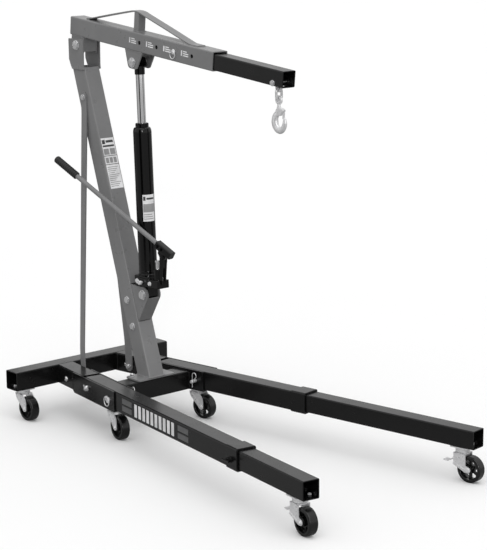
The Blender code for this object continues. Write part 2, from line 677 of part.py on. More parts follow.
def brace(side):
    """Flat bar from the post's head to the stub, its foot twisted to the stub's splay."""
    sign = SIDES[side]
    post_y = POST_WIDTH / 2 + GAP + BRACE_T / 2
    foot = leg_frame(1) @ Vector((BRACE_D, -TUBE / 2 - GAP - BRACE_T / 2, 0))
    top_x = post_middle(BRACE_TOP_Z)
    stations = [(BRACE_TOP_Z + 0.018, post_y, 0), (BRACE_TOP_Z - 0.035, post_y, 0),
                (BRACE_TOP_Z - 0.06, post_y + 0.001, 0),
                (0.235, foot.y - 0.001, 1), (0.205, foot.y, 1), (BRACE_Z - 0.018, foot.y, 1)]
    rings = []
    for z, y, twist in stations:
        x = top_x + (foot.x - top_x) * (BRACE_TOP_Z - z) / (BRACE_TOP_Z - BRACE_Z)
        turn = math.tan(SPLAY) * twist
        ring = []
        for dx, dy in ((-1, -1), (1, -1), (1, 1), (-1, 1)):
            across = dx * BRACE_WIDTH / 2
            ring.append((x + across, sign * (y + dy * BRACE_T / 2 + across * turn), z))
        rings.append(ring)
    bar = loft(rings)
    top_hole = bore(BRACE_BOLT_R, (top_x, 0, BRACE_TOP_Z))
    foot_hole = move(bore(BRACE_BOLT_R, (BRACE_D, 0, BRACE_Z)), leg_frame(sign))
    return part("support_bar_" + side, cut(bar, top_hole, foot_hole), "grey_paint")


def brace_bolts():
    stack = POST_WIDTH + 2 * (BRACE_T + 2 * GAP)
    place = Matrix.Translation((post_middle(BRACE_TOP_Z), -stack / 2, BRACE_TOP_Z))
    part("support_bar_top_bolt", move(bolt(stack, BRACE_BOLT_R), place), "zinc")
    for side, sign in SIDES.items():
        stack = TUBE + BRACE_T + 3 * GAP
        foot = bolt(stack, BRACE_BOLT_R, wing=True, round_head=True)
        turned = Matrix.Translation((BRACE_D, TUBE / 2, BRACE_Z)) @ Matrix.Rotation(math.pi, 4, "Z")
        part("support_bar_foot_bolt_" + side, move(foot, leg_frame(sign) @ turned), "zinc")


# ---- jack bracket on the post ----
def bracket_bolt_bores():
    return [bore(LEG_BOLT_R, (post_middle(z), 0, z), reach=0.06) for z in BRACKET_BOLT_Z]


def jack_bracket():
    """Two cheeks and a web that reach out of the post and carry the jack's foot."""
    radius, back = BRACKET_NOSE_R, BRACKET_BACK
    arc = [math.radians(a) for a in range(-38, 120, 22)]
    nose = [(JACK_FOOT.x + radius * math.cos(a), JACK_FOOT.z + radius * math.sin(a)) for a in arc]
    outline = nose + [(post_middle(0.440) - back, 0.470), (post_middle(0.440) - back, 0.440),
                      (post_middle(0.328) - back + 0.004, 0.328), (post_front(0.330) - 0.002, 0.328)]
    whole = prism(outline, -BRACKET_INNER - BRACKET_T, -BRACKET_INNER)
    whole = join(whole, prism(outline, BRACKET_INNER, BRACKET_INNER + BRACKET_T))
    web = [(post_front(0.335) - 0.004, 0.335), (post_front(0.335) + 0.002, 0.338),
           (post_front(0.395) + 0.004, 0.395), (post_front(0.395) - 0.002, 0.395)]
    whole = join(whole, prism(web, -BRACKET_INNER - 0.001, BRACKET_INNER + 0.001))
    foot = bore(JACK_PIN_R, JACK_FOOT, 16, 0.06)
    return part("jack_bracket", cut(whole, foot, *bracket_bolt_bores()), "grey_paint")


def bracket_bolts():
    for name, z in zip(("upper", "lower"), BRACKET_BOLT_Z):
        place = Matrix.Translation((post_middle(z), -POST_WIDTH / 2, z))
        part("bracket_bolt_" + name, move(bolt(POST_WIDTH, LEG_BOLT_R), place), "zinc")
    stack = 2 * (BRACKET_INNER + BRACKET_T)
    place = Matrix.Translation(JACK_FOOT - Vector((0, stack / 2, 0)))
    part("jack_foot_bolt", move(bolt(stack, JACK_PIN_R, 0.007, 0.007), place), "zinc")


# ---- boom ----
def strap_outline():
    """Bent flat bar over the upright, in the boom's side view."""
    t = STRAP_T
    upper = [(0.070, 0.0335), (0.078, 0.0345), (0.312, 0.0935), (0.324, 0.0955)]
    upper += [(0.340, 0.0955), (0.354, 0.0930), (0.596, 0.0345), (0.640, 0.0335)]
    lower = [(0.640, 0.0295), (0.594, 0.0295), (0.353, 0.0930 - t * 1.1), (0.340, 0.0955 - t)]
    lower += [(0.324, 0.0955 - t), (0.313, 0.0935 - t), (0.080, 0.0295), (0.070, 0.0295)]
    return upper + lower


def boom():
    half, h = BOOM_WIDTH / 2, BOOM_HEIGHT / 2
    tube = box((0, -half, -h), (BOOM_LENGTH, half, h))
    strap = prism(strap_outline(), -0.016, 0.016)
    upright = box((UPRIGHT_L - 0.012, -0.015, h - 0.001), (UPRIGHT_L + 0.012, 0.015, 0.0925))
    root = -h + 0.001
    saddle = [(0.008, root), (0.075, root), (0.075, -0.080), (0.069, -0.087)]
    saddle += [(0.016, -0.087), (0.008, -0.079)]
    cheek = [(0.297, root), (0.387, root), (0.364, -0.080), (0.356, -0.088)]
    cheek += [(0.324, -0.088), (0.316, -0.080)]
    whole = join(tube, strap, upright)
    for side in (-1, 1):
        low, high = sorted((side * CLEVIS_INNER, side * half))
        whole = join(whole, prism(saddle, low, high), prism(cheek, low, high))
    web = box((0.070, -CLEVIS_INNER - 0.001, -0.0775), (0.075, CLEVIS_INNER + 0.001, root))
    whole = join(whole, web)
    head = BOOM_LOCAL @ JACK_HEAD
    for side in (-1, 1):
        place = Matrix.Translation((head.x, 0, head.z))
        flange = rod((0, side * (half - 0.001), 0), (0, side * (half + 0.001), 0), 0.0165, 16)
        hexagon = rod((0, side * half, 0), (0, side * (half + 0.007), 0), 0.0135, 6)
        whole = join(whole, move(flange, place), move(hexagon, place))
    hollow = box((-0.01, -half + WALL, -h + WALL), (BOOM_LENGTH + 0.01, half - WALL, h - WALL))
    pivot = BOOM_LOCAL @ BOOM_PIVOT
    bores = [bore(JACK_PIN_R, pivot, 16)]
    bores += [bore(BOOM_PIN_R, (PIN_HOLE_1 + k * PIN_PITCH, 0, 0)) for k in range(4)]
    return part("boom", move(cut(whole, hollow, *bores), BOOM_FRAME), "grey_paint", BOOM_PIVOT)


def boom_pivot_bolt():
    stack = POST_WIDTH + 2 * EAR_T
    place = Matrix.Translation(BOOM_PIVOT - Vector((0, stack / 2, 0)))
    whole = move(bolt(stack, JACK_PIN_R, 0.007, 0.007), place)
    return part("boom_pivot_bolt", whole, "zinc")


def boom_extension():
    """Sliding inner tube; a slot in its sides stands for its travel over the locking pin."""
    half = BOOM_EXT / 2
    drop = BOOM_EXT_DROP
    tube = box((BOOM_EXT_REAR, -half, -half - drop), (BOOM_EXT_FRONT, half, half - drop))
    hollow = box((BOOM_EXT_REAR - 0.01, -half + WALL, -half - drop + WALL),
                 (BOOM_EXT_FRONT + 0.01, half - WALL, half - drop - WALL))
    room = BOOM_PIN_R + 0.0004
    slot = box((BOOM_PIN_L - PIN_PITCH - room - 0.0002, -0.05, -room),
               (BOOM_PIN_L + 2 * PIN_PITCH + room + 0.0002, 0.05, room))
    bolt_hole = bore(HOOK_BOLT_R, (HOOK_BOLT_L, 0, HOOK_BOLT_H))
    mouth = box((HOOK_BOLT_L - 0.022, -0.0075, -0.05),
                (HOOK_BOLT_L + 0.030, 0.0075, -half - drop + WALL + 0.001))
    whole = cut(tube, hollow, slot, bolt_hole, mouth)
    end = BOOM_FRAME @ Vector((BOOM_EXT_FRONT, 0, 0))
    return part("boom_extension", move(whole, BOOM_FRAME), "black_paint", end)


def boom_pin():
    half = BOOM_WIDTH / 2
    shank = rod((0, -half - 0.006, 0), (0, half + 0.007, 0), BOOM_PIN_R, 12)
    head = rod((0, -half - 0.0045, 0), (0, -half - GAP, 0), 0.0085, 16)
    ring = swept(circle_path((0, -half - 0.0055, -0.0095), 0.0115, 18), 0.0014, 6, True)
    whole = join(shank, head, ring)
    place = BOOM_FRAME @ Matrix.Translation((BOOM_PIN_L, 0, 0))
    return part("boom_pin", move(whole, place), "zinc", place @ Vector((0, 0, 0)))


# ---- hook and chain, hanging plumb below the hook bolt ----
def link(top, across):
    """Oval chain link hanging from the height top, its plane along across."""
    across = Vector(across)
    middle = HOOK_TOP + Vector((0, 0, top - LINK_HALF))
    reach = LINK_HALF - LINK_SIDE
    path = []
    for k in range(16):
        t = 2 * math.pi * (k + 0.5) / 16
        lift = reach if math.sin(t) > 0 else -reach
        rise = Vector((0, 0, lift + LINK_SIDE * math.sin(t)))
        path.append(middle + across * LINK_SIDE * math.cos(t) + rise)
    return swept(path, WIRE, 8, True, across.cross(Vector((0, 0, 1))))


def hook_bolt():
    whole = move(bolt(BOOM_EXT, HOOK_BOLT_R, 0.005, 0.005), Matrix.Translation((0, -BOOM_EXT / 2, 0)))
    place = BOOM_FRAME @ Matrix.Translation((HOOK_BOLT_L, 0, HOOK_BOLT_H))
    return part("hook_bolt", move(whole, place), "zinc")


def hook_thickness(t):
    """Half thickness of the hook from its neck at 0 round to its point at 1."""
    for (t0, r0), (t1, r1) in zip(HOOK_STATIONS, HOOK_STATIONS[1:]):
        if t <= t1:
            return r0 + (r1 - r0) * (t - t0) / (t1 - t0)
    return HOOK_STATIONS[-1][1]


def hook():
    """Forged hook: eye, shoulder and bowl."""
    eye = swept(circle_path((0, 0, 0), EYE_R, 16), EYE_WIRE, 8, True)
    path = [Vector((0, 0, -EYE_R + 0.001)), Vector((-0.001, 0, -0.024))]
    for k in range(12):
        t = math.radians(118 + 23.2 * k)
        path.append(BOWL + Vector((BOWL_X * math.cos(t), 0, BOWL_Z * math.sin(t))))
    path.append(BOWL + Vector((BOWL_X + 0.0007, 0, 0.0135)))
    body = swept(path, hook_thickness, 8, flatten=HOOK_FLAT)
    outline = [(-0.010, -0.0445), (0.004, -0.0465), (0.013, -0.0435), (0.0165, -0.0365), (0.0235, -0.0325),
               (0.0240, -0.0270), (0.0190, -0.0240), (0.006, -0.0215), (-0.004, -0.0225), (-0.010, -0.030)]
    shoulder = prism(outline, -0.0062, 0.0062)
    return part("hook", move(join(eye, body, shoulder), Matrix.Translation(EYE_CENTRE)), "zinc", EYE_CENTRE)


def hook_latch():
    """Sprung tongue from the hook's shoulder to its point."""
    wide, narrow = 0.0015, 0.0012
    corners = [(LATCH_PIVOT.x + wide, LATCH_PIVOT.z), (LATCH_PIVOT.x - wide, LATCH_PIVOT.z)]
    corners += [(LATCH_TIP.x - narrow, LATCH_TIP.z), (LATCH_TIP.x + narrow, LATCH_TIP.z)]
    return part("hook_latch", prism(corners, -0.0040, 0.0040), "zinc", LATCH_PIVOT)


# ---- long-ram jack, built in its own frame with z along the ram ----
def jack_body():
    """Foot lug, valve block, reservoir tube, pump barrel and the handle's link cheeks."""
    turns = [math.radians(180 + 22.5 * k) for k in range(9)]
    lug_outline = [(0.020 * math.cos(a), 0.020 * math.sin(a)) for a in turns]
    lug_outline += [(0.020, 0.034), (-0.020, 0.034)]
    lug = prism(lug_outline, -0.0195, 0.0195)
    block = box((-0.037, -0.0335, JACK_BLOCK_LOW), (0.037, 0.0335, JACK_BLOCK_HIGH))
    shelf = box((0.0, -0.0440, JACK_BLOCK_LOW + 0.004), (0.1060, 0.0030, JACK_BLOCK_HIGH - 0.004))
    tube = rod((0, 0, JACK_BLOCK_HIGH - 0.002), (0, 0, JACK_TUBE_TOP), JACK_R, 28)
    shoulder = rod((0, 0, JACK_TUBE_TOP - 0.001), (0, 0, GLAND_TOP - 0.014), JACK_R, 28, SHOULDER_R)
    whole = join(tube, shoulder, block, shelf, lug)
    whole = move(whole, JACK_FRAME)
    barrel = rod(plunger_point(-BARREL_FOOT), plunger_point(-BARREL_TOP), 0.0125, 16)
    whole = join(whole, barrel)
    for side in (-1, 1):
        whole = join(whole, move(link_cheek(side), HANDLE_FRAME))
    return whole


def jack_cylinder():
    whole = jack_body()
    bore_ram = move(rod((0, 0, 0.070), (0, 0, 0.7), ROD_R + 0.0008, 20), JACK_FRAME)
    gland_seat = move(rod((0, 0, GLAND_TOP - 0.022), (0, 0, 0.7), GLAND_R + GAP, 20), JACK_FRAME)
    foot = bore(JACK_PIN_R, JACK_FOOT, 16, 0.06)
    plunger_bore = rod(plunger_point(-BARREL_DEPTH), plunger_point(0), PLUNGER_R + 0.0002 + RUN, 14)
    valve = move(rod((VALVE_X, -0.07, VALVE_Z), (VALVE_X, -0.018, VALVE_Z), 0.0045 + RUN, 12), JACK_FRAME)
    whole = cut(whole, bore_ram, gland_seat, foot, plunger_bore, valve)
    return part("jack_cylinder", whole, "gloss_black", JACK_FOOT)


def gland_nut():
    low = rod((0, 0, GLAND_TOP - 0.0215), (0, 0, GLAND_TOP - 0.006), GLAND_R, 20)
    rim = rod((0, 0, GLAND_TOP - 0.0137), (0, 0, GLAND_TOP), GLAND_RIM_R, 20)
    whole = cut(join(low, rim), rod((0, 0, GLAND_TOP - 0.05), (0, 0, GLAND_TOP + 0.02), ROD_R + RUN, 20))
    return part("gland_nut", move(whole, JACK_FRAME), "gloss_black")


def ram():
    """Chrome rod with its eye; it reaches down inside the cylinder."""
    top, r = (JACK_HEAD - JACK_FOOT).length, RAM_EYE_R
    shaft = rod((0, 0, 0.200), (0, 0, top - 0.012), ROD_R, 20)
    collar = rod((0, 0, top - 0.040), (0, 0, top - 0.010), r, 20)
    arc = [math.radians(18 * k) for k in range(11)]
    eye_outline = [(r * math.cos(a), top + r * math.sin(a)) for a in arc]
    eye = prism(eye_outline + [(-r, top - 0.014), (r, top - 0.014)], -r, r)
    whole = join(shaft, collar, eye)
    whole = cut(whole, rod((0, -0.05, top), (0, 0.05, top), JACK_PIN_R + RUN, 16))
    return part("ram", move(whole, JACK_FRAME), "chrome", JACK_FOOT + JACK_AXIS * top)


# ---- pump: plunger, socket, handle; built in the handle frame, x towards the grip ----
def plunger_point(rise):
    """Centre of the plunger's head, under the socket's heel."""
    return HANDLE_FRAME @ Vector((PLUNGER_REACH, 0, 0)) + JACK_AXIS * rise


def link_cheek(side):
    """Side plate that carries the socket's pin, rising from the jack's shelf."""
    low, high = sorted((side * 0.0075, side * 0.0105))
    down = HANDLE_PIVOT.z - (JACK_FOOT.z + JACK_BLOCK_HIGH - 0.012)
    outline = [(-0.001, -down), (0.010, -down), (0.0085, 0.0), (0.006, 0.006), (0.0, 0.0085)]
    outline += [(-0.006, 0.006), (-0.0085, 0.0)]
    plate = prism(outline, low, high)
    if side < 0:
        plate = join(plate, rod((0, -0.0125, 0), (0, 0.0125, 0), LINK_PIN_R, 12))
    return plate


def bar_frame():
    """Bar centre line: x along the handle, z above it, origin over the link pin."""
    return Matrix.Rotation(-HANDLE_RISE, 4, "Y") @ Matrix.Translation((0, 0, HANDLE_OFFSET))


def pump_socket():
    half = SOCKET_HALF
    sleeve = box((-0.026, -half, -half), (0.043, half, half))
    mouth = rod((-0.020, 0, 0), (0.060, 0, 0), SOCKET_BORE_R, 14)
    outline = [(-0.009, -0.012), (-0.009, -0.028), (-0.004, -0.0335), (0.004, -0.0335)]
    outline += [(0.024, -0.022), (0.026, -0.012)]
    heel = prism(outline, -0.0065, 0.0065)
    whole = move(cut(join(sleeve, heel), mouth), bar_frame())
    whole = cut(whole, bore(LINK_PIN_R))
    return part("pump_socket", move(whole, HANDLE_FRAME), "gloss_black", HANDLE_PIVOT)


def pump_handle():
    bar = rod((BAR_START, 0, 0), (BAR_END, 0, 0), BAR_R, 14)
    return part("pump_handle", move(bar, HANDLE_FRAME @ bar_frame()), "grey_paint", HANDLE_PIVOT)


def handle_grip():
    """Ribbed rubber sleeve, closed at its outer end."""
    start, end = 0.431, 0.5335
    ribs = 5
    pitch = (end - start - 0.010) / ribs
    whole = rod((start, 0, 0), (end, 0, 0), 0.0112, 12)
    for k in range(ribs):
        low = start + 0.004 + k * pitch
        whole = join(whole, rod((low, 0, 0), (low + pitch * 0.62, 0, 0), 0.0126, 12))
    whole = cut(whole, rod((start - 0.01, 0, 0), (BAR_END + GAP, 0, 0), BAR_R + GAP, 14))
    return part("handle_grip", move(whole, HANDLE_FRAME @ bar_frame()), "grip_rubber", HANDLE_PIVOT)


def pump_plunger():
    head = plunger_point(-PLUNGER_TOP)
    whole = rod(plunger_point(-PLUNGER_FOOT), head, PLUNGER_R, 14)
    whole = join(whole, rod(plunger_point(-PLUNGER_NECK), head, PLUNGER_HEAD_R, 14))
    return part("pump_plunger", whole, "chrome", head)


def release_valve():
    """Screw with a slotted head on the near side of the valve block."""
    x, z = VALVE_X, VALVE_Z
    stem = rod((x, -0.048, z), (x, -0.020, z), 0.0045, 12)
    head = rod((x, -0.056, z), (x, -0.0445, z), 0.0070, 14)
    whole = cut(join(stem, head), box((x - 0.0015, -0.060, z - 0.012), (x + 0.0015, -0.0515, z + 0.013)))
    return part("release_valve", move(whole, JACK_FRAME), "zinc", JACK_FRAME @ Vector((x, -0.0445, z)))


# ---- assembly ----
def build():
    clear_scene()
    base_frame()
    for side in SIDES:
        leg(side)
        leg_extension(side)
        leg_pivot_bolt(side)
        lock_pin(side)
        lock_clip(side)
        extension_knob(side)
        brace(side)
    casters()
    post()
    brace_bolts()
    jack_bracket()
    bracket_bolts()
    boom()
    boom_pivot_bolt()
    boom_extension()
    boom_pin()
    hook_bolt()
    part("chain_link_upper", link(LINK_1_TOP, (1, 0, 0)), "zinc", HOOK_TOP)
    lower_pivot = HOOK_TOP + Vector((0, 0, LINK_2_TOP - WIRE))
    part("chain_link_lower", link(LINK_2_TOP, (0, 1, 0)), "zinc", lower_pivot)
    hook()
    hook_latch()
    jack_cylinder()
    gland_nut()
    ram()
    pump_socket()
    pump_handle()
    handle_grip()
    pump_plunger()
    release_valve()


build()
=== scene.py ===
"""Looks for the folding engine hoist crane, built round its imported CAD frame."""

import math

import bmesh
import bpy
from mathutils import Matrix, Vector

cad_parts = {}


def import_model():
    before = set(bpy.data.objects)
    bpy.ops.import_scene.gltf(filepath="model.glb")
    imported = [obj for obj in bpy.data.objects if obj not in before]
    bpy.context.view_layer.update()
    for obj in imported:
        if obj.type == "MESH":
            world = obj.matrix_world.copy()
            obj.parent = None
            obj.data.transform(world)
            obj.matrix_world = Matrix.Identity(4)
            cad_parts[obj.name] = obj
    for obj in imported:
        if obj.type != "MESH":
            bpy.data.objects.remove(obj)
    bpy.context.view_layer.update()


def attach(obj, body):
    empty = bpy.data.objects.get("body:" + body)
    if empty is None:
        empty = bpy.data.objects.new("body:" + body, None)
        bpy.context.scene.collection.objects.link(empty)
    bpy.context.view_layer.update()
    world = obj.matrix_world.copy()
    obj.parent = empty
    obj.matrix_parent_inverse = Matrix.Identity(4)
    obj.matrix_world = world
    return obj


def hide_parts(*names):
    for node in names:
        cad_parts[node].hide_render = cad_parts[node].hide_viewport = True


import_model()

# ---- shared dimensions in metres, x measured from the rear beam's back face ----
ORIGIN_X = 0.7642
SIDES = {"right": -1.0, "left": 1.0}
ACROSS = (0, 1, 0)
# base frame and legs
SPLAY = math.radians(8.67)
LEG_ROOT_Y = 0.121
FRAME_TOP = 0.17
TUBE = 0.064
WALL = 0.003
FRAME_BOTTOM = FRAME_TOP - TUBE
MID_Z = FRAME_TOP - TUBE / 2
CHANNEL_FOOT = 0.1015
CHANNEL_END = 0.405
LEG_START = 0.189
LEG_END = {"right": 1.136, "left": 0.832}
EXT_LENGTH = {"right": 0.6, "left": 0.88}
EXT_FRONT = 1.463
LEG_PIVOT = (0.22, 0.138)
LOCK_PIN = (0.37, 0.1346)
LEG_HOLE = 0.0063
KNOB_BACK = 0.034
KNOB_Z = 0.133
# casters
FORK_TOP = 0.0895
TRAIL = 0.03
WHEEL_R = 0.041
REAR_CASTER_Y = 0.274
MID_CASTER_X = 0.349
FRONT_CASTER_X = 1.409
FRONT_CASTER_TOP = 0.109
CASTER_BOLTS = [(0.022, 0.0175), (-0.022, 0.0175), (-0.022, -0.0175), (0.022, -0.0175)]
# post, braces and jack bracket
POST_LEAN = math.radians(17.87)
POST_FOOT_X = 0.3775
POST_DEPTH = 0.065
POST_WIDTH = 0.062
FLOOR_TOP = 0.164
BRACE_TOP_Z = 1.068
BRACE_FOOT = (0.065, 0.134)
BRACE_HOLE = 0.0053
BRACKET_BOLTS = {"upper": 0.415, "lower": 0.33}
# boom
BOOM_PIVOT = Vector((0.053, 0.0, 1.238))
BOOM_REAR = Vector((0.015, 0.0, 1.3005))
BOOM_TILT = math.radians(-5.6)
BOOM_LENGTH = 0.7304
BOOM_HALF_WIDTH = 0.029
BOOM_HALF_HEIGHT = 0.03
PIN_START, PIN_STEP = 0.37, 0.087
PIN_AT = PIN_START + 2 * PIN_STEP
HOOK_BOLT = (1.000, -0.018)
PIVOT_HOLE = 0.0083
# jack and pump
JACK_FOOT = Vector((0.375, 0.0, 0.444))
JACK_HEAD = Vector((0.345, 0.0, 1.2))
JACK_SPAN = (JACK_HEAD - JACK_FOOT).length
JACK_R = 0.03
GLAND_TOP = 0.562
ROD_R = 0.0136
HANDLE_PIVOT = Vector((0.48, -0.0215, 0.583))
HANDLE_RISE = math.radians(29.2)
HANDLE_TURN = math.radians(192)
PLUNGER_REACH = 0.026
# camera
CAMERA_TURN = math.radians(48.86)
CAMERA_RISE = math.radians(12.247)
CAMERA_ROLL = math.radians(-0.3593)
CAMERA_PLACE = (4.91 - ORIGIN_X, -3.5509, 1.7533)
CAMERA_LENS = 133.059548
CAMERA_SENSOR = 36.0


# ---- places ----
def at(x=0.0, y=0.0, z=0.0):
    return Matrix.Translation((x, y, z))


def turned(degrees, axis):
    return Matrix.Rotation(math.radians(degrees), 4, axis)


def tilt_frame(origin, angle):
    return at(*origin) @ Matrix.Rotation(-angle, 4, "Y")


def leg_frame(sign):
    return Matrix.Diagonal((1, sign, 1, 1)) @ at(TUBE, LEG_ROOT_Y) @ Matrix.Rotation(SPLAY, 4, "Z")


def rear_frame(sign):
    return Matrix.Diagonal((1, sign, 1, 1)) @ at(TUBE / 2, REAR_CASTER_Y)


BOOM_FRAME = tilt_frame(BOOM_REAR, BOOM_TILT)
BOOM_LOCAL = BOOM_FRAME.inverted()
POST_FRAME = tilt_frame((POST_FOOT_X, 0, FLOOR_TOP), math.pi / 2 + POST_LEAN)
JACK_AXIS = (JACK_HEAD - JACK_FOOT).normalized()
JACK_FRAME = tilt_frame(JACK_FOOT, -math.atan2(JACK_AXIS.x, JACK_AXIS.z))
HANDLE_FRAME = at(*HANDLE_PIVOT) @ Matrix.Rotation(HANDLE_TURN, 4, "Z")
BAR_FRAME = HANDLE_FRAME @ Matrix.Rotation(-HANDLE_RISE, 4, "Y") @ at(z=0.0255)


def post_middle(z):
    return POST_FOOT_X - (z - FLOOR_TOP) * math.tan(POST_LEAN)


def post_front(z):
    return post_middle(z) + POST_DEPTH / 2 / math.cos(POST_LEAN)


def plunger_point(rise):
    return HANDLE_FRAME @ Vector((PLUNGER_REACH, 0, 0)) + JACK_AXIS * rise


# ---- materials ----
class Graph:
    """Small helper that adds and links shader nodes."""

    def __init__(self, name):
        self.mat = bpy.data.materials.new(name)
        self.mat.use_nodes = True
        self.tree = self.mat.node_tree
        self.shader = self.tree.nodes["Principled BSDF"]
        coords = self.tree.nodes.new("ShaderNodeTexCoord")
        self.place = coords.outputs["Object"]

    def node(self, kind, **values):
        made = self.tree.nodes.new(kind)
        for key, value in values.items():
            if hasattr(made, key):
                setattr(made, key, value)
            else:
                made.inputs[key.replace("_", " ")].default_value = value
        return made

    def link(self, out, inp):
        self.tree.links.new(out, inp)

    def noise(self, scale, detail=3.0, rough=0.55, stretch=None):
        tex = self.node("ShaderNodeTexNoise", Scale=scale, Detail=detail, Roughness=rough)
        source = self.place
        if stretch:
            mapping = self.node("ShaderNodeMapping")
            mapping.inputs["Scale"].default_value = stretch
            self.link(source, mapping.inputs["Vector"])
            source = mapping.outputs["Vector"]
        self.link(source, tex.inputs["Vector"])
        return tex.outputs["Fac"]

    def spread(self, value, low, high, new_low, new_high):
        ramp = self.node("ShaderNodeMapRange", clamp=True)
        limits = {"From Min": low, "From Max": high, "To Min": new_low, "To Max": new_high}
        for key, number in limits.items():
            ramp.inputs[key].default_value = number
        self.link(value, ramp.inputs["Value"])
        return ramp.outputs["Result"]

    def edges(self, radius, low=0.02, high=0.25):
        """Bright where the surface turns sharply."""
        rounded = self.node("ShaderNodeBevel", samples=4, Radius=radius)
        geometry = self.node("ShaderNodeNewGeometry")
        dot = self.node("ShaderNodeVectorMath", operation="DOT_PRODUCT")
        self.link(rounded.outputs["Normal"], dot.inputs[0])
        self.link(geometry.outputs["Normal"], dot.inputs[1])
        return self.spread(dot.outputs["Value"], 1.0 - low, 1.0 - high, 0.0, 1.0)

    def times(self, a, b):
        maths = self.node("ShaderNodeMath", operation="MULTIPLY", use_clamp=True)
        for i, part in enumerate((a, b)):
            if isinstance(part, float):
                maths.inputs[i].default_value = part
            else:
                self.link(part, maths.inputs[i])
        return maths.outputs["Value"]

    def mix(self, factor, a, b):
        mixer = self.node("ShaderNodeMix", data_type="RGBA")
        self.link(factor, mixer.inputs["Factor"])
        for slot, part in ((6, a), (7, b)):
            if isinstance(part, tuple):
                mixer.inputs[slot].default_value = (*part, 1.0)
            else:
                self.link(part, mixer.inputs[slot])
        return mixer.outputs[2]

    def bump(self, height, strength, distance):
        made = self.node("ShaderNodeBump", Strength=strength, Distance=distance)
        self.link(height, made.inputs["Height"])
        self.link(made.outputs["Normal"], self.shader.inputs["Normal"])

    def colour(self, value):
        self.link(value, self.shader.inputs["Base Color"])

    def rough(self, value):
        self.link(value, self.shader.inputs["Roughness"])


def grey(value):
    return (value, value, value * 1.01)


def coat(name, tone, low, high, worn=0.35, bare=0.42, shine=0.5):
    """Powder coat: fine orange peel, soft mottling, a little bright wear on the edges."""
    g = Graph(name)
    mottle = g.spread(g.noise(9.0, 4.0), 0.3, 0.7, 0.0, 1.0)
    base = g.mix(mottle, grey(tone * 0.93), grey(tone * 1.07))
    rub = g.times(g.edges(0.0011), g.spread(g.noise(70.0, 5.0, 0.7), 0.52, 0.72, 0.0, worn))
    g.colour(g.mix(rub, base, grey(bare)))
    g.rough(g.spread(g.noise(22.0, 5.0, 0.6), 0.3, 0.7, low, high))
    g.bump(g.noise(650.0, 2.0), 0.1, 0.0006)
    g.shader.inputs["Specular IOR Level"].default_value = shine
    return g.mat


def metal(name, tone, low, high, stretch=(1, 1, 1), scale=60.0, relief=0.05, stain=0.8, metallic=1.0):
    """Plated steel: brushed or grained, with duller patches and a painted highlight that lightens its sharp
    edges.
    """
    g = Graph(name)
    patch = g.spread(g.noise(scale, 4.0, 0.6, stretch), 0.35, 0.7, 0.0, 1.0)
    base = g.mix(patch, grey(tone), grey(tone * stain))
    # Painted highlight: every sharp edge is mixed up to 40 per cent towards a lighter grey.
    edge_highlight = g.edges(0.0008, 0.01, 0.3)
    g.colour(g.mix(g.times(edge_highlight, 0.4), base, grey(min(tone * 1.15, 0.97))))
    g.shader.inputs["Metallic"].default_value = metallic
    g.rough(g.spread(g.noise(scale * 1.7, 5.0, 0.6, stretch), 0.3, 0.7, low, high))
    g.bump(g.noise(scale * 12, 2.0), relief, 0.0004)
    return g.mat


def moulded(name, tone, low, high, relief=0.15, scale=900.0):
    g = Graph(name)
    patch = g.spread(g.noise(30.0, 4.0), 0.3, 0.7, 0.0, 1.0)
    g.colour(g.mix(patch, grey(tone * 0.85), grey(tone * 1.2)))
    g.rough(g.spread(g.noise(45.0, 4.0), 0.3, 0.7, low, high))
    g.bump(g.noise(scale, 2.0), relief, 0.0004)
    return g.mat


BLACK = coat("black_powder_coat", 0.0045, 0.2, 0.28, worn=0.22, bare=0.1, shine=0.42)
GREY = coat("grey_powder_coat", 0.205, 0.26, 0.34, worn=0.45, shine=0.45)
JACK_BLACK = coat("gloss_black_enamel", 0.0022, 0.07, 0.12, worn=0.08, bare=0.06, shine=0.36)
ZINC = metal("bright_zinc", 0.9, 0.24, 0.38, metallic=0.45, stain=0.86)
BOLT_ZINC = metal("plated_fastener", 0.82, 0.16, 0.28, scale=120.0, metallic=0.88)
WIRE_ZINC = metal("drawn_zinc", 0.96, 0.18, 0.3, scale=140.0, metallic=0.6)
FORGED = metal("plated_forging", 0.93, 0.26, 0.4, scale=90.0, relief=0.16, stain=0.8, metallic=0.55)
CHROME = metal("hard_chrome", 0.9, 0.05, 0.1, stretch=(1, 1, 0.15), scale=40.0, relief=0.01, stain=0.95)
WHEEL = moulded("moulded_black_wheel", 0.004, 0.12, 0.2, 0.04)
TREAD = moulded("black_tread", 0.005, 0.2, 0.3, 0.08)
GRIP = moulded("ribbed_rubber", 0.012, 0.45, 0.62)
LABEL_WHITE = moulded("label_film", 0.8, 0.28, 0.36, 0.02)
LABEL_INK = moulded("label_ink", 0.045, 0.3, 0.42, 0.02)
LABEL_GREY = moulded("label_grey", 0.3, 0.3, 0.42, 0.02)
STRIPE = moulded("stripe_grey", 0.105, 0.32, 0.42, 0.02)


# ---- solids ----
def from_bmesh(bm, name="piece"):
    bmesh.ops.remove_doubles(bm, verts=bm.verts, dist=1e-7)
    bmesh.ops.recalc_face_normals(bm, faces=bm.faces)
    mesh = bpy.data.meshes.new(name)
    bm.to_mesh(mesh)
    bm.free()
    obj = bpy.data.objects.new(name, mesh)
    bpy.context.scene.collection.objects.link(obj)
    return obj


def skin(rings, closed=False, caps=True):
    """Join rings of equal length; closed joins the last ring to the first."""
    bm = bmesh.new()
    made = [[bm.verts.new(p) for p in ring] for ring in rings]
    pairs = list(zip(made, made[1:]))
    if closed:
        pairs.append((made[-1], made[0]))
    elif caps:
        bm.faces.new(made[0])
        bm.faces.new(made[-1])
    count = len(made[0])
    for lower, upper in pairs:
        for i in range(count):
            j = (i + 1) % count
            bm.faces.new((lower[i], lower[j], upper[j], upper[i]))
    return from_bmesh(bm)


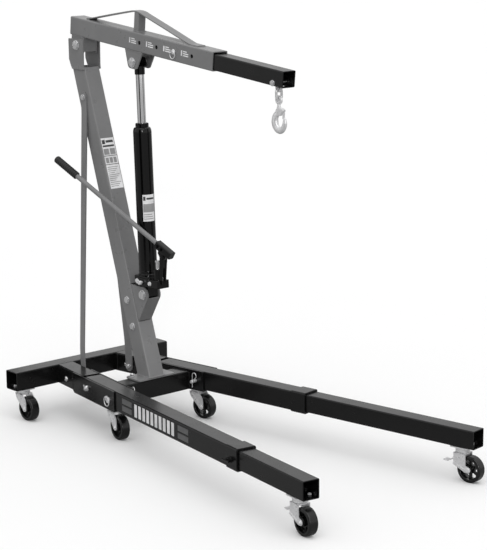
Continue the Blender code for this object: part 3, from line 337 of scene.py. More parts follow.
def box(low, high):
    (x0, y0, z0), (x1, y1, z1) = low, high
    return skin([[(x0, y0, z), (x1, y0, z), (x1, y1, z), (x0, y1, z)] for z in (z0, z1)])


PLANES = {
    "xz": lambda a, b, c: (a, c, b),
    "xy": lambda a, b, c: (a, b, c),
    "yz": lambda a, b, c: (c, a, b),
}


def prism(outline, low, high, plane="xz"):
    place = PLANES[plane]
    return skin([[place(a, b, c) for a, b in outline] for c in (low, high)])


def lathe(profile, sides=32, axis="z"):
    """Turn a closed (radius, height) outline; radius 0 closes it on the axis."""
    rings = []
    for r, h in profile:
        r = max(r, 1e-5)
        turns = [2 * math.pi * (k + 0.5) / sides for k in range(sides)]
        if axis == "z":
            rings.append([(r * math.cos(t), r * math.sin(t), h) for t in turns])
        else:
            rings.append([(r * math.cos(t), h, r * math.sin(t)) for t in turns])
    bored = profile[0][0] > 1e-5
    return skin(rings, closed=bored)


def rod(start, end, radius, sides=24, end_radius=None):
    start, end = Vector(start), Vector(end)
    turn = (end - start).to_track_quat("Z", "Y").to_matrix().to_4x4()
    top = radius if end_radius is None else end_radius
    made = lathe([(0, 0), (radius, 0), (top, (end - start).length), (0, (end - start).length)], sides)
    return move(made, at(*start) @ turn)


def swept(path, radius, sides=12, closed=False, flat=(0, 1, 0), flatten=1.0):
    """Round or oval wire along a flat path; radius may follow the share of the way along."""
    flat = Vector(flat)
    rings = []
    total = len(path)
    for k, point in enumerate(path):
        r = radius(k / (total - 1)) if callable(radius) else radius
        before = path[(k - 1) % total] if closed else path[max(k - 1, 0)]
        after = path[(k + 1) % total] if closed else path[min(k + 1, total - 1)]
        along = (Vector(after) - Vector(before)).normalized()
        side = flat.cross(along).normalized()
        turns = [2 * math.pi * (i + 0.5) / sides for i in range(sides)]
        rings.append([Vector(point) + side * r * math.cos(t) + flat * r * flatten * math.sin(t)
                      for t in turns])
    return skin(rings, closed)


def smooth_path(points, steps):
    """Catmull-Rom curve through the points."""
    pts = [Vector(p) for p in points]
    pts = [pts[0] * 2 - pts[1]] + pts + [pts[-1] * 2 - pts[-2]]
    path = []
    for a, b, c, d in zip(pts, pts[1:], pts[2:], pts[3:]):
        for k in range(steps):
            t = k / steps
            path.append(0.5 * (2 * b + (c - a) * t + (2 * a - 5 * b + 4 * c - d) * t * t
                               + (3 * b - a - 3 * c + d) * t ** 3))
    return path + [pts[-2]]


def circle(centre, radius, count, across=(1, 0, 0), up=(0, 0, 1)):
    centre, across, up = Vector(centre), Vector(across) * radius, Vector(up) * radius
    turns = [2 * math.pi * k / count for k in range(count)]
    return [centre + across * math.cos(t) + up * math.sin(t) for t in turns]


def rounded(width, height, radius, steps=6):
    """Corner points of a rounded rectangle centred on 0, counter-clockwise."""
    points = []
    corners = ((1, 1, 0), (-1, 1, 90), (-1, -1, 180), (1, -1, 270))
    for sx, sy, start in corners:
        for k in range(steps + 1):
            t = math.radians(start + 90 * k / steps)
            points.append((sx * (width / 2 - radius) + radius * math.cos(t),
                           sy * (height / 2 - radius) + radius * math.sin(t)))
    return points


def tube(low, high, width, height, wall, radius):
    """Square tube along X with rounded corners, open at both ends."""
    outer = rounded(width, height, radius)
    inner = rounded(width - 2 * wall, height - 2 * wall, max(radius - wall, 0.0012))
    rings = []
    for outline, x in ((outer, low), (outer, high), (inner, high), (inner, low)):
        rings.append([(x, a, b) for a, b in outline])
    return skin(rings, closed=True)


def move(obj, matrix):
    obj.data.transform(matrix)
    if matrix.determinant() < 0:
        obj.data.flip_normals()
    return obj


def shifted(obj, x=0.0, y=0.0, z=0.0):
    return move(obj, at(x, y, z))


def combine(obj, tools, operation):
    for tool in tools:
        mod = obj.modifiers.new("cut", "BOOLEAN")
        mod.operation = operation
        mod.solver = "EXACT"
        mod.object = tool
        bake(obj)
        bpy.data.objects.remove(tool, do_unlink=True)
    return obj


def bake(obj):
    bpy.context.view_layer.update()
    shape = bpy.data.meshes.new_from_object(obj.evaluated_get(bpy.context.evaluated_depsgraph_get()))
    obj.modifiers.clear()
    obj.data = shape
    return obj


def cut(obj, *tools):
    return combine(obj, tools, "DIFFERENCE")


def union(obj, *tools):
    return combine(obj, tools, "UNION")


def merge(*objs):
    """One mesh from several shells."""
    bm = bmesh.new()
    for obj in objs:
        bm.from_mesh(obj.data)
        bpy.data.objects.remove(obj, do_unlink=True)
    mesh = bpy.data.meshes.new("merged")
    bm.to_mesh(mesh)
    bm.free()
    made = bpy.data.objects.new("merged", mesh)
    bpy.context.scene.collection.objects.link(made)
    return made


def show(name, obj, body, material, node=None, bevel=0.0005, segments=2, limit=35.0):
    """Round the edges, colour the piece and let it ride on its body."""
    bm = bmesh.new()
    bm.from_mesh(obj.data)
    bmesh.ops.remove_doubles(bm, verts=bm.verts, dist=1e-6)
    bmesh.ops.dissolve_degenerate(bm, edges=bm.edges, dist=1e-6)
    bm.to_mesh(obj.data)
    bm.free()
    move(obj, at(-ORIGIN_X)).data.shade_smooth()
    if bevel:
        mod = obj.modifiers.new("edges", "BEVEL")
        mod.width = bevel
        mod.segments = segments
        mod.limit_method = "ANGLE"
        mod.angle_limit = math.radians(limit)
        mod.use_clamp_overlap = True
    mod = obj.modifiers.new("shading", "WEIGHTED_NORMAL")
    mod.keep_sharp = True
    bake(obj)
    obj.name = name
    obj.data.name = name
    obj.data.materials.clear()
    obj.data.materials.append(material)
    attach(obj, body)
    if node:
        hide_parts(node)
    return obj


def bead(name, points, body, material, radius, normal=(0, 0, 1)):
    """Rippled weld along straight runs between the points."""
    path = []
    for a, b in zip(points, points[1:]):
        a, b = Vector(a), Vector(b)
        steps = max(int((b - a).length / 0.0016), 2)
        path += [a + (b - a) * k / steps for k in range(steps)]
    path.append(Vector(points[-1]))

    def ripple(share):
        ends = min(share, 1 - share) * len(path)
        return radius * min(1.0, 0.45 + ends * 0.25) * (1 + 0.13 * math.sin(share * len(path) * 1.9))
    show(name, swept(path, ripple, 7, False, normal), body, material, bevel=0)


# ---- fasteners, along +Y from the head ----
def hexagon(radius, inner, outer):
    """Hexagonal head, its outer end turned to a chamfer."""
    low, high = sorted((inner, outer))
    chamfer = radius * 0.13
    low_r, high_r = (radius - chamfer, radius) if outer < inner else (radius, radius - chamfer)
    block = lathe([(0, low), (radius, low), (radius, high), (0, high)], 6, "y")
    turning = [(0, low), (low_r, low), (radius, low + chamfer * 0.6), (radius, high - chamfer * 0.6),
               (high_r, high), (0, high)]
    return combine(block, [lathe(turning, 32, "y")], "INTERSECT")


def thread(radius, low, high, pitch=0.0014):
    profile = [(0, low)]
    turns = max(int((high - low) / pitch), 1)
    for k in range(turns):
        y = low + k * (high - low) / turns
        profile += [(radius * 0.88, y), (radius, y + (high - low) / turns * 0.5)]
    profile += [(radius * 0.86, high), (0, high)]
    return lathe(profile, 24, "y")


def washer(radius, low, high, hole):
    return lathe([(hole, low), (radius, low), (radius, high), (hole, high)], 28, "y")


def wing_nut(radius, head_r, face, nut):
    parts = [lathe([(radius * 0.9, face + 0.0003), (head_r, face + 0.0003),
                    (head_r * 0.8, face + nut + 0.001),
                    (radius * 0.9, face + nut + 0.001)], 24, "y")]
    for side in (-1, 1):
        path = [(side * 0.005, 0, 0), (side * 0.01, 0, 0.003), (side * 0.0155, 0, 0.008)]
        blade = swept(smooth_path(path, 5), lambda s: 0.0034 + 0.0014 * math.sin(math.pi * s), 10,
                      flatten=0.42)
        parts.append(shifted(blade, y=face + 0.0042))
    return parts


def bolt(length, radius, head=0.006, nut=0.006, wing=False, dome=False):
    head_r = radius * 1.85
    shank = [(0, -head * 0.5), (radius, -head * 0.5), (radius, length + 0.001), (0, length + 0.001)]
    parts = [lathe(shank, 20, "y"), thread(radius, length, length + nut + 0.004)]
    if dome:
        arc = [(head_r * math.sin(t), -head * math.cos(t))
               for t in [math.radians(15 * k) for k in range(6)]]
        parts.append(lathe([(0, -head)] + arc[1:] + [(head_r, -0.0003), (0, -0.0003)], 32, "y"))
    else:
        parts.append(hexagon(head_r, -0.0012, -head))
        parts.append(washer(head_r * 1.12, -0.0013, -0.0003, radius * 0.9))
    if wing:
        parts += wing_nut(radius, head_r, length, nut)
    else:
        parts.append(hexagon(head_r, length + 0.0012, length + nut))
        parts.append(washer(head_r * 1.12, length + 0.0003, length + 0.0013, radius * 0.9))
    return merge(*parts)


def bore(radius, x=0.0, z=0.0, reach=0.05):
    """Cutter, or pin, along Y."""
    return rod((x, -reach, z), (x, reach, z), radius, 28)


def cheeks(outline, inner, outer, *holes):
    """The same plate on both sides of the middle; each hole is (radius, x, z)."""
    plates = []
    for sign in (-1, 1):
        plate = prism(outline, *sorted((sign * inner, sign * outer)))
        plates.append(cut(plate, *[bore(*hole) for hole in holes]))
    return plates


# ---- base frame ----
def base_frame():
    beam = move(tube(-0.32, 0.32, TUBE, TUBE, WALL, 0.005), at(TUBE / 2, 0, MID_Z) @ turned(90, "Z"))
    holes = [move(rod((x, y, 0.098), (x, y, 0.112), 0.004, 16), rear_frame(sign))
             for sign in (-1, 1) for x, y in CASTER_BOLTS]
    show("rear_beam", cut(beam, *holes), "base", BLACK, "base_frame")
    for side, sign in SIDES.items():
        stub_tube(side, leg_frame(sign))
        leg_channel(side, leg_frame(sign))
    crossbeam()


def stub_tube(side, here):
    stub = shifted(tube(-0.014, 0.1795, TUBE, TUBE, WALL, 0.0048), z=MID_Z)
    stub = cut(stub, bore(BRACE_HOLE, *BRACE_FOOT))
    stub = cut(move(stub, here), box((-0.1, -0.4, 0), (TUBE, 0.4, 0.3)))
    show("stub_tube_" + side, stub, "base", BLACK)


def leg_channel(side, here):
    outline = [(0.12, 0.1085), (0.128, CHANNEL_FOOT), (CHANNEL_END, CHANNEL_FOOT), (CHANNEL_END, FRAME_TOP),
               (0.12, FRAME_TOP)]
    right, left = cheeks(outline, 0.0315, 0.0355, (LEG_HOLE, *LEG_PIVOT), (LEG_HOLE, *LOCK_PIN))
    web = box((0.262, -0.032, CHANNEL_FOOT), (CHANNEL_END, 0.032, CHANNEL_FOOT + 0.004))
    show("leg_channel_" + side, move(union(right, web, left), here), "base", BLACK, bevel=0.0007)
    for w, tag in ((-0.0345, "inner"), (0.0345, "outer")):
        points = [here @ Vector((0.1195, w, z)) for z in (0.112, 0.166)]
        bead("channel_weld_%s_%s" % (tag, side), points, "base", BLACK, 0.002, ACROSS)
        x = 0.0018 - w * math.tan(SPLAY)
        points = [here @ Vector((x, w * 0.93, z)) for z in (0.11, 0.166)]
        bead("stub_weld_%s_%s" % (tag, side), points, "base", BLACK, 0.0028, ACROSS)


def crossbeam():
    cross = move(tube(-0.145, 0.145, TUBE, 0.0637, WALL, 0.005), at(0.376, 0, 0.13185) @ turned(90, "Z"))
    for sign in (-1, 1):
        cross = cut(cross, move(box((-0.1, -0.034, 0), (0.6, 0.2, 0.3)), leg_frame(sign)))
    show("crossbeam", cross, "base", BLACK)
    for side, sign in SIDES.items():
        for x, tag in ((0.3438, "rear"), (0.4082, "front")):
            along = (x - TUBE - 0.0315 * math.sin(SPLAY)) / math.cos(SPLAY)
            points = [leg_frame(sign) @ Vector((along, -0.0367, z)) for z in (0.104, 0.16)]
            bead("crossbeam_weld_%s_%s" % (tag, side), points, "base", BLACK, 0.0024, ACROSS)


# ---- legs ----
def knob_hole(end):
    return rod((end - KNOB_BACK, 0.02, KNOB_Z), (end - KNOB_BACK, 0.05, KNOB_Z), 0.0053, 20)


def leg(side):
    end, body, here = LEG_END[side], "leg_" + side, leg_frame(SIDES[side])
    whole = shifted(tube(LEG_START, end, 0.062, TUBE, 0.0025, 0.0046), z=MID_Z)
    cut_back = 0.008
    for z, out in ((FRAME_TOP, 1), (FRAME_BOTTOM, -1)):
        corner = [(0.18, z + out * 0.01), (LEG_START + cut_back + 0.01, z + out * 0.01),
                  (LEG_START + cut_back, z),
                  (LEG_START, z - out * cut_back), (0.18, z - out * cut_back)]
        whole = cut(whole, prism(corner, -0.05, 0.05))
    slot = box((0.36, -0.05, 0.096), (0.3768, 0.05, 0.1412))
    whole = cut(whole, bore(LEG_HOLE, *LEG_PIVOT), slot, knob_hole(end))
    show("leg_tube_" + side, move(whole, here), body, BLACK, "leg_" + side)
    collar = shifted(tube(end - 0.056, end + 0.0002, 0.068, 0.07, 0.0031, 0.0062), z=MID_Z)
    show("leg_collar_" + side, move(cut(collar, knob_hole(end)), here), body, BLACK, bevel=0.0009)
    ring = [here @ Vector((end - 0.0565, a, MID_Z + b)) for a, b in rounded(0.0635, 0.0655, 0.005, 3)]
    bead("collar_weld_" + side, ring + ring[:1], body, BLACK, 0.0017, here.to_3x3() @ Vector((1, 0, 0)))


def leg_extension(side):
    body = "leg_extension_" + side
    whole = shifted(tube(EXT_FRONT - EXT_LENGTH[side], EXT_FRONT, 0.056, 0.058, WALL, 0.0042), z=MID_Z)
    holes = [rod((FRONT_CASTER_X + x, y, 0.104), (FRONT_CASTER_X + x, y, 0.116), 0.004, 16) for x,
             y in CASTER_BOLTS]
    show(body + "_tube", move(cut(whole, *holes), leg_frame(SIDES[side])), body, BLACK, body)


def pivot_bolt(side):
    stack = 0.071
    made = move(bolt(stack, 0.006, wing=True),
                leg_frame(SIDES[side]) @ at(LEG_PIVOT[0], -stack / 2, LEG_PIVOT[1]))
    show("pivot_bolt_" + side, made, "base", BOLT_ZINC, "leg_pivot_bolt_" + side, bevel=0.0003)


def lock_pin(side):
    """Pull pin with its ring outside and a forked tip for the clip."""
    stack = 0.0355
    tip = -stack - 0.022
    shank = lathe([(0, tip), (0.0045, tip), (0.006, tip + 0.002), (0.006, stack + 0.007),
                   (0, stack + 0.007)], 28, "y")
    shank = cut(shank, box((-0.0018, tip - 0.01, -0.02), (0.0018, -stack - 0.009, 0.02)))
    cap = [(0, 0.0003), (0.0105, 0.0003), (0.011, 0.001), (0.011, 0.004), (0.0095, 0.0052), (0, 0.0056)]
    head = shifted(lathe(cap, 32, "y"), y=stack)
    tab = box((-0.0026, stack + 0.0045, 0.0), (0.0026, stack + 0.0112, 0.0145))
    ring = swept(circle((0, stack + 0.008, -0.003), 0.016, 40), 0.0016, 10, True)
    made = move(merge(shank, head, tab, ring), leg_frame(SIDES[side]) @ at(LOCK_PIN[0], 0, LOCK_PIN[1]))
    show("pull_pin_" + side, made, "lock_pin_" + side, WIRE_ZINC, "leg_lock_pin_" + side, bevel=0.0003)


def lock_clip(side):
    path = [(0, -0.02), (0, -0.004), (0, 0.008)]
    for k in range(15):
        t = math.radians(200 - 20 * k)
        path.append((0.0085 + 0.0085 * math.cos(t), 0.021 + 0.01 * math.sin(t)))
    path.append((0.0105, 0.0))
    here = leg_frame(SIDES[side]) @ at(LOCK_PIN[0], -0.051, LOCK_PIN[1])
    made = move(swept(smooth_path([(x, 0, z) for x, z in path], 3), 0.0013, 10), here)
    show("clip_wire_" + side, made, "lock_clip_" + side, WIRE_ZINC, "leg_lock_clip_" + side, bevel=0)


def extension_knob(side):
    """T-handled clamp screw in the collar, built round its own axis."""
    face = 0.034
    stem = thread(0.005, 0.0287, face + 0.004)
    profile = [(0.004, 0.0003), (0.0105, 0.0003), (0.0105, 0.0016), (0.0085, 0.0025), (0.008, 0.0105),
               (0.006, 0.0125), (0.004, 0.0125)]
    collar = shifted(lathe(profile, 32, "y"), y=face)
    neck = rod((0, face + 0.003, 0), (0, face + 0.0165, 0), 0.0052)
    profile = [(0, -0.018), (0.0022, -0.018), (0.003, -0.0165), (0.0028, 0.0), (0.003, 0.0165),
               (0.0022, 0.018), (0, 0.018)]
    bar = move(lathe(profile, 20), at(y=face + 0.0165) @ turned(90, "Y"))
    here = leg_frame(SIDES[side]) @ at(LEG_END[side] - KNOB_BACK, 0, KNOB_Z)
    show("clamp_screw_" + side, move(merge(stem, collar, neck, bar), here), "extension_knob_" + side,
         JACK_BLACK,
         "extension_knob_" + side, bevel=0.0002)


# ---- casters, round the kingpin, +X the way the wheel trails ----
def caster_plate(name, body, here, top, through):
    top = top - 0.0003
    plate = prism(rounded(0.062, 0.056, 0.007), top - 0.003, top, "xy")
    low = FORK_TOP + 0.0003
    race = lathe([(0, low), (0.0195, low), (0.0215, low + 0.0015), (0.0215, low + (top - low) * 0.35),
                  (0.0235, top - 0.0045), (0.026, top - 0.0029), (0, top - 0.0029)], 40)
    kingpin = lathe([(0, 0.083), (0.0065, 0.083), (0.01, 0.0842), (0.01, 0.0853), (0.0055, 0.0853),
                     (0.0055, top - 0.002), (0, top - 0.002)], 28)
    parts = [plate, race, kingpin]
    for x, y in CASTER_BOLTS:
        if through:
            made = merge(hexagon(0.006, 0.0036, 0.008), thread(0.0033, -0.001, 0.0088))
            dome = lathe([(0, -0.0052), (0.0035, -0.005), (0.0055, -0.0035), (0.0058, -0.0028),
                          (0, -0.0028)], 20)
            parts.append(shifted(dome, x, y, top))
        else:
            made = hexagon(0.0055, -0.0028, -0.006)
        parts.append(move(made, at(x, y, top) @ turned(90, "X")))
    show(name + "_mount", move(merge(*parts), here), body, ZINC, name + "_plate", bevel=0.0003)


def caster_fork(name, body, here, broad=False):
    disc = lathe([(0.0058, FORK_TOP - 0.003), (0.0205, FORK_TOP - 0.0035), (0.0225, FORK_TOP - 0.0022),
                  (0.0222, FORK_TOP), (0.0058, FORK_TOP)], 44)
    start, step, count = (250, 20, 9) if broad else (200, 14, 11)
    arc = [math.radians(start + step * k) for k in range(count)]
    round_end = [(TRAIL + 0.0095 * math.cos(t), WHEEL_R + 0.0095 * math.sin(t)) for t in arc]
    if broad:
        outline = [(-0.0205, FORK_TOP), (-0.0205, WHEEL_R + 0.013), (-0.015, WHEEL_R + 0.0075),
                   (0.02, WHEEL_R - 0.0085), *round_end, (0.0225, WHEEL_R + 0.012), (0.0215, FORK_TOP)]
        ridge = [(-0.02, WHEEL_R + 0.015), (0.004, WHEEL_R + 0.004), (TRAIL - 0.006, WHEEL_R - 0.001)]
        proud, thick, taper, sides, flatten = 0.0206, 0.0042, 0.001, 12, 0.28
    else:
        outline = [(-0.0195, FORK_TOP), (-0.019, FORK_TOP - 0.006), (-0.015, FORK_TOP - 0.016), *round_end,
                   (0.039, WHEEL_R + 0.021), (0.0345, WHEEL_R + 0.034), (0.0215, FORK_TOP)]
        ridge = [(-0.012, FORK_TOP - 0.008), (0.006, FORK_TOP - 0.022), (0.022, WHEEL_R + 0.01)]
        proud, thick, taper, sides, flatten = 0.0203, 0.0026, 0.0012, 10, 0.3
    parts = []
    for sign in (-1, 1):
        parts.append(prism(outline, *sorted((sign * 0.0175, sign * 0.02))))
        low, high = sorted((sign * 0.012, sign * 0.02))
        parts.append(box((-0.0185, low, FORK_TOP - 0.003), (0.0215, high, FORK_TOP - 0.0003)))
        path = smooth_path([(x, sign * proud, z) for x, z in ridge], 6)
        parts.append(swept(path, lambda s: thick - taper * s, sides, flatten=flatten))
    end = 0.024
    axle = lathe([(0, -end + 0.001), (0.004, -end + 0.001), (0.004, end - 0.002), (0, end - 0.002)], 20,
                 "y")
    head = hexagon(0.0065, -0.0198, -end)
    nut = merge(hexagon(0.0065, 0.0198, end - 0.0015), thread(0.004, end - 0.002, end))
    parts += [disc] + [shifted(part, TRAIL, 0, WHEEL_R) for part in (axle, head, nut)]
    show(name + "_yoke", move(merge(*parts), here), body, ZINC, name + "_fork", bevel=0.0004)


def caster_wheel(name, body, here):
    """Moulded wheel with a rounded tread and six see-through windows."""
    half, shoulder, recess = 0.015, 0.0045, 0.0115
    arc = [(WHEEL_R - shoulder + shoulder * math.cos(t), half - shoulder + shoulder * math.sin(t))
           for t in [math.radians(90 - 15 * k) for k in range(7)]]
    outline = [(0.0043, half), (0.0105, half), (0.012, half - 0.0008), (0.0128, half - recess),
               (0.03, half - recess), (0.0306, half - 0.0008), (0.0315, half)] + arc
    rim = lathe(outline + [(r, -w) for r, w in reversed(outline)], 56, "y")
    windows = []
    for k in range(6):
        sweep = [math.radians(60 * k - 21 + 6 * i) for i in range(8)]
        loop = [(0.0288 * math.cos(t), 0.0288 * math.sin(t)) for t in sweep]
        loop += [(0.015 * math.cos(t), 0.015 * math.sin(t)) for t in reversed(sweep[1:-1])]
        windows.append(prism(loop, -0.03, 0.03))
    wheel = cut(rim, *windows)
    cap = lathe([(0.0045, half - 0.001), (0.0085, half - 0.001), (0.0085, half + 0.0012),
                 (0.0045, half + 0.0012)],
                28, "y")
    spin = here @ at(TRAIL, 0, WHEEL_R)
    made = show(name + "_roller", move(merge(wheel, cap), spin), body, WHEEL, name + "_wheel", bevel=0.0004)
    made.data.materials.append(TREAD)
    centre = spin.translation - Vector((ORIGIN_X, 0, 0))
    axis = (spin.to_3x3() @ Vector(ACROSS)).normalized()
    for poly in made.data.polygons:
        arm = poly.center - centre
        if (arm - axis * arm.dot(axis)).length > 0.0385:
            poly.material_index = 1


def caster(name, here, top, body, through=True, broad=False):
    caster_plate(name, body, here, top, through)
    caster_fork(name, name + "_fork", here, broad)
    caster_wheel(name, name + "_wheel", here)


def brake_pedal(side, here):
    upper = [(-0.0225, 0.068), (-0.03, 0.0665), (-0.038, 0.06), (-0.046, 0.0555), (-0.054, 0.055),
             (-0.062, 0.0568)]
    lower = [(-0.062, 0.0545), (-0.054, 0.0528), (-0.046, 0.0532), (-0.038, 0.057), (-0.03, 0.0622),
             (-0.0225, 0.064)]
    ribs = [rod((x, -0.0095, z), (x, 0.0095, z), 0.0009, 10) for x,
            z in ((-0.058, 0.056), (-0.054, 0.0553), (-0.05, 0.0554))]
    made = move(merge(prism(upper + lower, -0.011, 0.011), *ribs), here)
    show("brake_lever_" + side, made, "brake_pedal_" + side, ZINC, "brake_pedal_" + side, bevel=0.0006)


# ---- post and braces ----
def post():
    lift, half = FLOOR_TOP + 0.006, POST_WIDTH / 2
    plate = prism([(x + 0.3735, y) for x, y in rounded(0.073, 0.15, 0.008)], FLOOR_TOP, lift, "xy")
    show("post_foot_plate", plate, "base", GREY, "post", bevel=0.0008)
    mast = move(tube(-0.03, 1.1, POST_WIDTH, POST_DEPTH, WALL, 0.0048), POST_FRAME)
    low = box((0, -0.2, -0.1), (0.8, 0.2, lift - 0.0005))
    high = box((-0.3, -0.2, 1.166), (0.5, 0.2, 1.5))
    window = box((post_front(0.4725) - 0.01, -0.0278, 0.3495), (0.45, 0.0278, 0.4725))
    bores = [bore(BRACE_HOLE, post_middle(BRACE_TOP_Z), BRACE_TOP_Z)]
    bores += [bore(LEG_HOLE, post_middle(z), z) for z in BRACKET_BOLTS.values()]
    show("mast_tube", cut(mast, low, high, window, *bores), "base", GREY)
    front = post_front(1.158)
    ear = [(0.012, 1.258), (0.088, 1.258), (0.09, 1.256), (post_front(1.165) + 0.0005, 1.17),
           (front, 1.158),
           (front - 0.064, 1.158), (0.019, 1.172), (0.011, 1.19), (0.01, 1.256)]
    for side, plate in zip(SIDES, cheeks(ear, half, half + 0.005,
                                         (PIVOT_HOLE, BOOM_PIVOT.x, BOOM_PIVOT.z))):
        show("mast_ear_" + side, plate, "base", GREY, bevel=0.0007)
        y = SIDES[side] * (half + 0.0008)
        bead("ear_weld_low_" + side, [(front - 0.062, y, 1.1575), (front - 0.003, y, 1.1575)], "base", GREY,
             0.002, ACROSS)
    x0, x1 = post_front(lift) - POST_DEPTH / math.cos(POST_LEAN), post_front(lift)
    loop = [(x0, -half), (x1, -half), (x1, half), (x0, half), (x0, -half)]
    bead("mast_foot_weld", [(x, y, lift + 0.0004) for x, y in loop], "base", GREY, 0.003)
    for side, sign in SIDES.items():
        made = merge(hexagon(0.008, 0.0013, 0.0068), washer(0.0095, 0.0002, 0.0014, 0.004),
                     thread(0.0045, 0.0, 0.0095))
        made = move(made, at(0.35, sign * 0.058, lift) @ turned(90, "X"))
        show("foot_plate_bolt_" + side, made, "base", BOLT_ZINC, bevel=0.0003)


def support_bar(side):
    """Flat bar with round ends, flush on the mast at the top and on the stub tube at the foot."""
    sign = SIDES[side]
    half_thick, half_width = 0.0025, 0.014
    post_y = POST_WIDTH / 2 + 0.0003 + half_thick
    foot = leg_frame(1) @ Vector((BRACE_FOOT[0], -TUBE / 2 - 0.0028, 0))
    top_x, foot_z = post_middle(BRACE_TOP_Z), BRACE_FOOT[1]
    top, bottom = [], []
    for k in range(5):
        t = math.radians(22.5 * k)
        wide = max(math.cos(t), 0.3)
        top.insert(0, (BRACE_TOP_Z + 0.004 + 0.014 * math.sin(t), post_y, 0, wide))
        bottom.append((foot_z - 0.004 - 0.014 * math.sin(t), foot.y, 1, wide))
    bends = [(BRACE_TOP_Z - 0.035, post_y, 0, 1), (BRACE_TOP_Z - 0.048, post_y + 0.0003, 0, 1),
             (BRACE_TOP_Z - 0.06, post_y + 0.001, 0, 1), (0.235, foot.y - 0.001, 1, 1),
             (0.22, foot.y - 0.0003, 1, 1),
             (0.205, foot.y, 1, 1)]
    rings = []
    for z, y, twist, wide in top + bends + bottom:
        x = top_x + (foot.x - top_x) * (BRACE_TOP_Z - z) / (BRACE_TOP_Z - foot_z)
        ring = []
        for dx, dy in ((-1, -1), (1, -1), (1, 1), (-1, 1)):
            across = dx * half_width * wide
            ring.append((x + across, sign * (y + dy * half_thick + across * math.tan(SPLAY) * twist), z))
        rings.append(ring)
    holes = [bore(BRACE_HOLE, top_x, BRACE_TOP_Z), move(bore(BRACE_HOLE, *BRACE_FOOT), leg_frame(sign))]
    show("brace_bar_" + side, cut(skin(rings), *holes), "base", GREY, "support_bar_" + side, bevel=0.0007)


def cross_bolt(name, node, stack, radius, x, z, head=0.006):
    """Bolt across the crane's middle through a stack of this thickness."""
    made = shifted(bolt(stack, radius, head, head), x, -stack / 2, z)
    show(name, made, "base", BOLT_ZINC, node, bevel=0.0003)


def brace_bolts():
    cross_bolt("brace_top_bolt", "support_bar_top_bolt", POST_WIDTH + 0.0112, 0.005,
               post_middle(BRACE_TOP_Z), BRACE_TOP_Z)
    for side, sign in SIDES.items():
        here = leg_frame(sign) @ at(BRACE_FOOT[0], TUBE / 2, BRACE_FOOT[1]) @ turned(180, "Z")
        show("brace_foot_bolt_" + side, move(bolt(0.0699, 0.005, wing=True, dome=True), here), "base",
             BOLT_ZINC,
             "support_bar_foot_bolt_" + side, bevel=0.0003)


# ---- jack bracket ----
def jack_bracket():
    inner, thick, radius, web_thick = 0.0222, 0.005, 0.027, 0.0035
    arc = [math.radians(-38 + 8.5 * k) for k in range(18)]
    nose = [(JACK_FOOT.x + radius * math.cos(a), JACK_FOOT.z + radius * math.sin(a)) for a in arc]
    low = (post_front(0.351) - 0.001, 0.351)
    outline = nose + [(post_middle(0.44) - 0.022, 0.47), (post_middle(0.44) - 0.022, 0.44),
                      (post_middle(0.328) - 0.018, 0.328), (post_front(0.33) - 0.002, 0.328), low]
    holes = [(LEG_HOLE, post_middle(z), z) for z in BRACKET_BOLTS.values()]
    parts = cheeks(outline, inner, inner + thick, (PIVOT_HOLE, JACK_FOOT.x, JACK_FOOT.z), *holes)
    low, high = Vector(low), Vector(nose[0])
    inward = Vector((high.y - low.y, low.x - high.x)).normalized() * -web_thick
    rim = [Vector(p) for p in nose[:3]]
    centre = Vector((JACK_FOOT.x, JACK_FOOT.z))
    lip = [p - (p - centre).normalized() * web_thick for p in reversed(rim)]
    web = prism([low] + rim + lip + [high + inward, low + inward], -inner - 0.0005, inner + 0.0005)
    show("jack_bracket_cheeks", merge(*parts, web), "base", GREY, "jack_bracket", bevel=0.0008)
    for name, z in BRACKET_BOLTS.items():
        cross_bolt("bracket_fixing_" + name, "bracket_bolt_" + name, POST_WIDTH, 0.006, post_middle(z), z)
    cross_bolt("jack_foot_fixing", "jack_foot_bolt", 2 * (inner + thick), 0.008, JACK_FOOT.x, JACK_FOOT.z,
               0.007)


# ---- boom ----
def boom():
    half, h = BOOM_HALF_WIDTH, BOOM_HALF_HEIGHT
    holes = [bore(0.0066, PIN_START + k * PIN_STEP) for k in range(4)]
    whole = cut(tube(0, BOOM_LENGTH, 2 * half, 2 * h, WALL, 0.0042), *holes)
    show("boom_tube", move(whole, BOOM_FRAME), "boom", GREY, "boom")
    truss(h)
    boom_brackets(half, h)
    for tag, x0, x1, y, z, size in (("strap_weld_rear", 0.072, 0.086, 0.0163, h + 0.0004, 0.0018),
                                    ("strap_weld_front", 0.602, 0.641, 0.0163, h + 0.0004, 0.0018),
                                    ("saddle_weld", 0.012, 0.073, 0.0281, -h - 0.0005, 0.0017),
                                    ("clevis_weld", 0.301, 0.383, 0.0281, -h - 0.0005, 0.0017)):
        for side, sign in SIDES.items():
            points = [BOOM_FRAME @ Vector((x, sign * y, z)) for x in (x0, x1)]
            bead(tag + "_" + side, points, "boom", GREY, size)
    loop = [(-0.0125, -0.0155), (0.0125, -0.0155), (0.0125, 0.0155), (-0.0125, 0.0155), (-0.0125, -0.0155)]
    bead("strut_weld", [BOOM_FRAME @ Vector((x + 0.332, y, h + 0.0004)) for x, y in loop], "boom", GREY,
         0.002)


